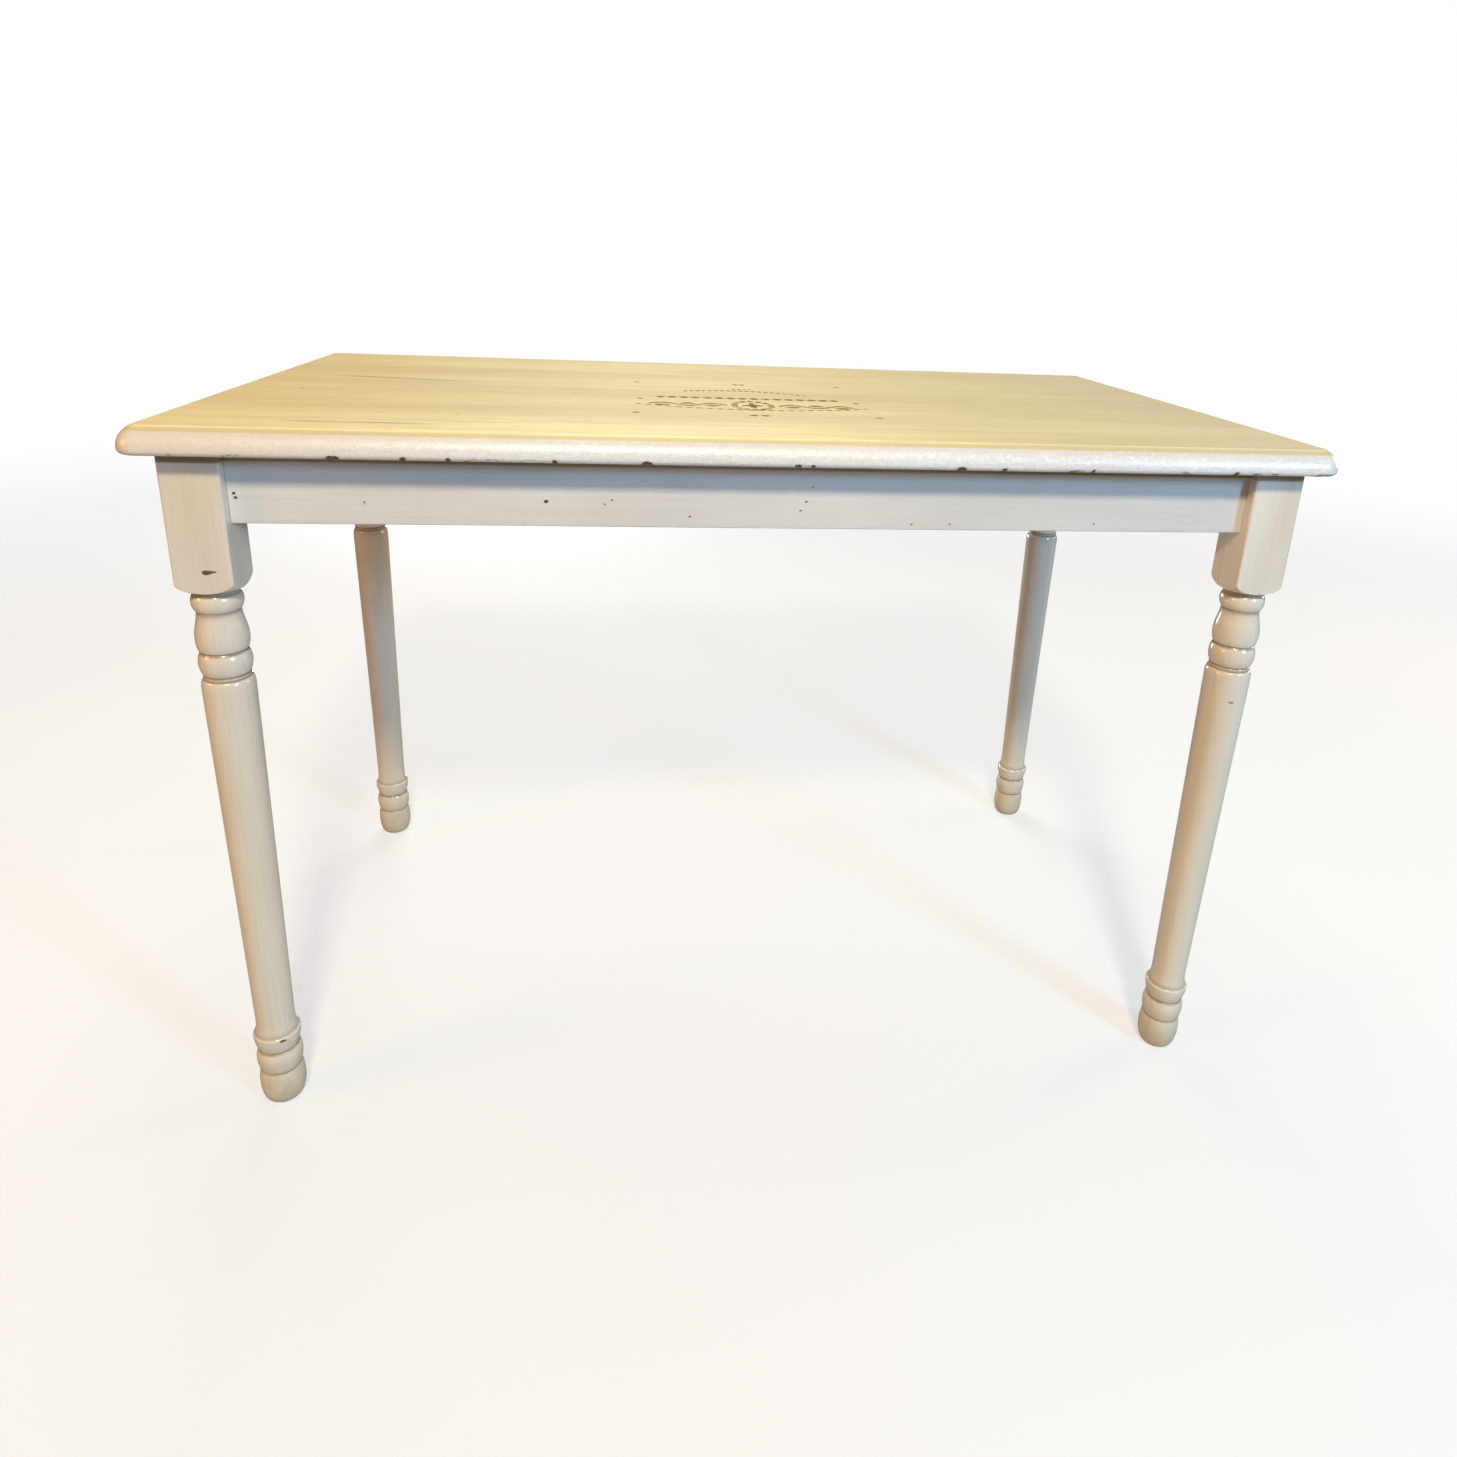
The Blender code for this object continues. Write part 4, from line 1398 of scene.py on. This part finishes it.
@dataclass
class CornerBrace:
    """A mitred block across a corner, with its screws and the leg's bolt.

    Attributes:
        corner: Which corner it is at.
        thickness: The block's thickness.
        ease: Radius of its eased upright edges.
        arris: Its eased level edges, as (inset, distance from the face).
        hole_clearance: Space left round each screw head in its counterbore.
    """

    corner: str
    thickness: float = 0.022
    ease: float = 0.0012
    arris: tuple[Pair, ...] = ((0.0012, 0.0), (0.0004, 0.0004), (0.0, 0.0012))
    hole_clearance: float = 0.0006

    def outline(self, low: Vector, high: Vector, thickness: float) -> np.ndarray:
        """The block from above, with each corner rounded by a short arc through its two sides.

        Its ends lie against the aprons; seen from the table's corner, its four corners are
        (far, end), (far - cut, end), (end, far - cut) and (end, far), where cut is root 2 times
        the thickness.

        Args:
            low: Its lowest corner.
            high: Its highest corner.
            thickness: Its thickness.

        Returns:
            The outline, as (point, 2).
        """
        bounds = np.array([low[:2], high[:2]])
        start, end = np.abs(bounds).min(axis=0), np.abs(bounds).max(axis=0)
        cut = thickness * math.sqrt(2)
        corners = [(start[0] + cut, end[1]), (start[0], end[1]), (end[0], start[1]), (end[0], start[1] + cut)]
        corners = np.array(corners)
        before, after = (np.roll(corners, step, axis=0) - corners for step in (1, -1))
        before /= np.linalg.norm(before, axis=1)[:, None]
        after /= np.linalg.norm(after, axis=1)[:, None]
        share = np.linspace(0, 1, 5)[None, :, None]
        arc = corners[:, None] + self.ease * (before[:, None] * (1 - share) ** 2 + after[:, None] * share**2)
        return arc.reshape(-1, 2) * np.sign(bounds[0])

    def drill(self, shank: Shank, radius: float, back: float, depth: float) -> bpy.types.Mesh:
        """A cutter along a screw or bolt, from back behind its start to depth past it."""
        profile = np.array([(radius, -back), (radius, depth)])
        return skin("drill", laid(turned(profile, 40), shank.start, shank.direction))

    def build(self, wood: bpy.types.Material, zinc: bpy.types.Material) -> None:
        """Makes the block, drills it and fits its hardware.

        Args:
            wood: The block's finish.
            zinc: The hardware's finish.
        """
        node = f"corner_block_{self.corner}"
        low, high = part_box(node)
        plan = self.outline(low, high, self.thickness)
        centre = plan.mean(axis=0)
        below = [(inset, low[2] + rise) for inset, rise in self.arris]
        above = [(inset, high[2] - rise) for inset, rise in reversed(self.arris)]
        levels = np.array(below + above)
        shrink = 1 - levels[:, :1, None] / np.linalg.norm(plan - centre, axis=1)[None, :, None]
        mesh = skin(f"sawn_block_{self.corner}", stacked(centre + (plan - centre)[None] * shrink, levels[:, 1]))
        bolt = LegBolt(self.corner).build(zinc)
        holes = [self.drill(bolt, bolt.radius + 0.0004, 0.01, bolt.length)]
        for name in ("brace_screw_{}_a", "brace_screw_{}_b", "top_screw_{}"):
            shank = WoodScrew(name.format(self.corner)).build(zinc)
            holes.append(self.drill(shank, shank.radius + self.hole_clearance, 0.05, shank.radius * 0.7))
        show(f"sawn_{node}", drilled(mesh, holes), node, "raw_wood", wood)


@dataclass
class Batten:
    """The flat batten across the underside, held by one screw to each board.

    Attributes:
        screw_count: How many screws hold it.
        ease: Radius of its eased edges.
    """

    screw_count: int = 5
    ease: float = 0.0016

    def build(self, wood: bpy.types.Material, zinc: bpy.types.Material) -> None:
        """Makes the batten, its countersunk holes and its screws.

        Args:
            wood: The batten's finish.
            zinc: The screws' finish.
        """
        low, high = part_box("top_batten")
        section = eased_rectangle((low[0], low[2]), (high[0], high[2]), self.ease, 5, 6)
        mesh = skin("sawn_batten", carried(section, np.linspace(low[1], high[1], 60), 1))
        holes = []
        for number in range(1, self.screw_count + 1):
            shank = WoodScrew(f"batten_screw_{number}").build(zinc)
            wide, deep = shank.radius * 1.16, shank.radius * 0.75
            profile = np.array([(wide, -0.01), (wide, 0.0), (shank.radius * 0.55, deep)])
            holes.append(skin("countersink", laid(turned(profile, 40), shank.start, shank.direction)))
        show("sawn_top_batten", drilled(mesh, holes), "top_batten", "raw_wood", wood)


# ---------------------------------------------------------------- studio


@dataclass(frozen=True)
class Lamp:
    """A soft area light: where it is, where it points, its size, power and colour."""

    name: str
    place: Triple
    aim: Triple
    size: float
    power: float
    color: Color

    def build(self) -> None:
        """Makes the light."""
        data = bpy.data.lights.new(self.name, "AREA")
        data.shape, data.size = "DISK", self.size
        data.energy, data.color = self.power, self.color
        lamp = placed(self.name, data)
        lamp.location = self.place
        lamp.rotation_euler = (Vector(self.aim) - Vector(self.place)).to_track_quat("-Z", "Y").to_euler()


@dataclass
class Studio:
    """Pale floor, soft lights and the camera.

    Attributes:
        eye: Where the camera is.
        turn: Its turn to the right of straight ahead, in degrees.
        tilt: Its tilt downwards, in degrees.
        roll: Its roll, in degrees.
        lens: Focal length in millimetres on a 36 mm frame.
        shift: Sideways and upward shift, as shares of the frame.
        blend: How far from level the surround's shades blend, as a direction's part.
    """

    eye: Triple = (-0.1245, -1.2399, 0.9101)
    turn: float = -8.176
    tilt: float = 18.568
    roll: float = 2.636
    lens: float = 25.21
    shift: Pair = (-0.0342, -0.0900)
    floor_half: float = 4.5
    floor_share: float = 0.45
    front_light: Color = (0.10, 0.08, 0.06)
    back_light: Color = (0.09, 0.085, 0.08)
    ground_light: Color = (0.07, 0.06, 0.05)
    blend: float = 0.15
    lamps: tuple[Lamp, ...] = (
        Lamp("key", (-0.1, -2.6, 2.8), (0.0, -0.25, 0.55), 0.42, 78.0, (1.0, 0.885, 0.65)),
        Lamp("low_cool_fill", (2.0, -2.4, 1.60), (0.0, -0.2, 0.6), 0.56, 58.0, (0.31, 0.61, 1.0)),
        Lamp("left_warm_fill", (-2.6, -1.0, 1.35), (0.0, -0.1, 0.45), 0.8, 17.0, (1.0, 0.45, 0.14)),
        Lamp("high_back", (-0.1, 1.6, 2.4), (0.0, 0.0, 0.7), 1.4, 28.0, (1.0, 1.0, 0.96)),
        Lamp("overhead", (0.0, 0.15, 3.0), (0.0, 0.1, 0.7), 1.4, 10.0, (1.0, 0.86, 0.42)),
        Lamp("right_warm_fill", (2.7, 0.7, 1.0), (0.4, 0.0, 0.4), 0.8, 15.0, (1.0, 0.80, 0.50)),
        Lamp("low_back", (-0.8, 2.8, 0.42), (0.0, 0.0, 0.42), 0.6, 19.0, (1.0, 0.98, 0.95)),
    )

    def world(self) -> None:
        """A white surround for the camera, and on the table a dim one in three shades.

        The shades are for the directions below the horizon, forwards and backwards.
        """
        world = bpy.data.worlds.new("white_surround")
        bpy.context.scene.world = world
        tree = NodeTree(world)
        _, forwards, upwards = tree.parts(tree.node("ShaderNodeTexCoord", {}, {}, "Generated"))
        shade: Tint = self.back_light
        for part, color in ((forwards, self.front_light), (upwards, self.ground_light)):
            limits = {"Value": part, "From Min": self.blend, "From Max": -self.blend}
            shade = tree.mix(tree.node("ShaderNodeMapRange", {}, limits), shade, color)
        seen = tree.node("ShaderNodeLightPath", {}, {}, "Is Camera Ray")
        tree.feed(tree.nodes["Background"].inputs["Color"], tree.mix(seen, shade, (1.0, 1.0, 1.0)))

    def floor(self) -> None:
        """A plain pale floor, half see-through under the table and fading out into the surround."""
        edge = np.array([(-1, -1), (1, -1), (1, 1), (-1, 1)]) * self.floor_half
        mesh = bpy.data.meshes.new("pale_floor")
        mesh.from_pydata([(x, y, 0.0) for x, y in edge], [], [(0, 1, 2, 3)])
        tree = ShaderTree("pale_floor")
        alpha = ((tree.x**2.0 + tree.y**2.0) ** 0.5).rise(self.floor_half, 0.6) * self.floor_share
        mesh.materials.append(tree.dress((0.90, 0.90, 0.90), 0.9, Alpha=alpha, Specular_IOR_Level=0.1))
        placed("pale_floor", mesh)

    def camera(self) -> None:
        """The camera: tilted down, turned and rolled, with no depth of field."""
        data = bpy.data.cameras.new("camera")
        data.lens, data.sensor_width = self.lens, 36.0
        data.shift_x, data.shift_y = self.shift
        data.clip_start = 0.01
        camera = placed("camera", data)
        turns = ((self.turn, "Z"), (90 - self.tilt, "X"), (self.roll, "Z"))
        first, second, third = (Matrix.Rotation(math.radians(angle), 4, axis) for angle, axis in turns)
        camera.matrix_world = Matrix.Translation(self.eye) @ first @ second @ third
        bpy.context.scene.camera = camera

    def build(self) -> None:
        """Sets up the studio."""
        self.world()
        self.floor()
        self.camera()
        for lamp in self.lamps:
            lamp.build()
        bpy.context.scene.view_settings.view_transform = "Standard"


# ---------------------------------------------------------------- the table

IVORY: Color = (0.85, 0.775, 0.665)
IVORY_DEEP: Color = (0.72, 0.62, 0.49)
OFF_WHITE: Color = (0.755, 0.715, 0.68)
OFF_WHITE_DEEP: Color = (0.65, 0.61, 0.56)


def leg_marks() -> tuple[Mark, ...]:
    """The knocks that show on the legs' paint, each placed from its own leg's box."""
    low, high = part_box("leg_front_left")
    wedge = (low[0] + 0.0290, low[1], 0.6150)
    right_low, right_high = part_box("leg_front_right")
    right_x = (right_low[0] + right_high[0]) / 2
    left_x = (low[0] + high[0]) / 2
    return (
        Mark(wedge, (0.0034, 0.004, 0.0023)),
        Mark((wedge[0] + 0.0036, low[1], 0.6153), (0.0036, 0.004, 0.0016)),
        Mark((wedge[0] + 0.0066, low[1], 0.6156), (0.0032, 0.004, 0.0009)),
        Mark((right_x - 0.004, right_low[1] + 0.003, 0.470), (0.0032, 0.004, 0.0012), 0.6),
        Mark((left_x + 0.012, low[1] + 0.006, 0.0860), (0.0035, 0.004, 0.0016)),
    )


def apron_marks() -> tuple[Mark, ...]:
    """The small chips on the front apron: place along X, height, half length, strength."""
    low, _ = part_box("apron_front")
    chips = (
        (-0.485, 0.686, 0.0016, 1.0), (-0.484, 0.682, 0.0018, 1.0), (-0.211, 0.682, 0.0022, 1.0),
        (-0.150, 0.684, 0.0013, 0.8), (-0.157, 0.680, 0.0012, 0.7), (-0.077, 0.669, 0.0014, 0.8),
        (0.030, 0.676, 0.0013, 0.8), (0.035, 0.685, 0.0014, 0.9), (0.180, 0.664, 0.0013, 0.7),
        (0.330, 0.666, 0.0013, 0.7),
    )
    return tuple(
        Mark((x, low[1], z), (reach, 0.003, reach * 0.75), strength) for x, z, reach, strength in chips
    )


def main() -> None:
    """Builds the studio and every piece of the table."""
    logging.basicConfig(level=logging.INFO, format="%(name)s: %(message)s")
    Studio().build()
    leg_paint = BrushedPaint("leg_paint", Grain.UPRIGHT, IVORY, IVORY_DEEP, leg_marks(), 0.65).material()
    Tabletop().build()
    for corner in CORNERS:
        TurnedLeg(corner).build(leg_paint)
    zinc = ZincPlate().material()
    runs = ((("front", "back"), Grain.LENGTHWISE, apron_marks()), (("left", "right"), Grain.CROSSWISE, ()))
    for sides, grain, marks in runs:
        name = f"apron_paint_{grain.name.lower()}"
        paint = BrushedPaint(name, grain, OFF_WHITE, OFF_WHITE_DEEP, marks, drag_share=0.12).material()
        bare = BareWood(f"apron_inside_{grain.name.lower()}", grain).material()
        for side in sides:
            Apron(side, grain).build(paint, bare)
    block_wood = BareWood("block_wood", Grain.UPRIGHT, (0.66, 0.47, 0.28), (0.46, 0.29, 0.15)).material()
    for corner in CORNERS:
        CornerBrace(corner).build(block_wood, zinc)
    batten_wood = BareWood("batten_wood", Grain.CROSSWISE, (0.63, 0.45, 0.26), (0.44, 0.28, 0.15)).material()
    Batten().build(batten_wood, zinc)


if __name__ == "__main__":
    main()
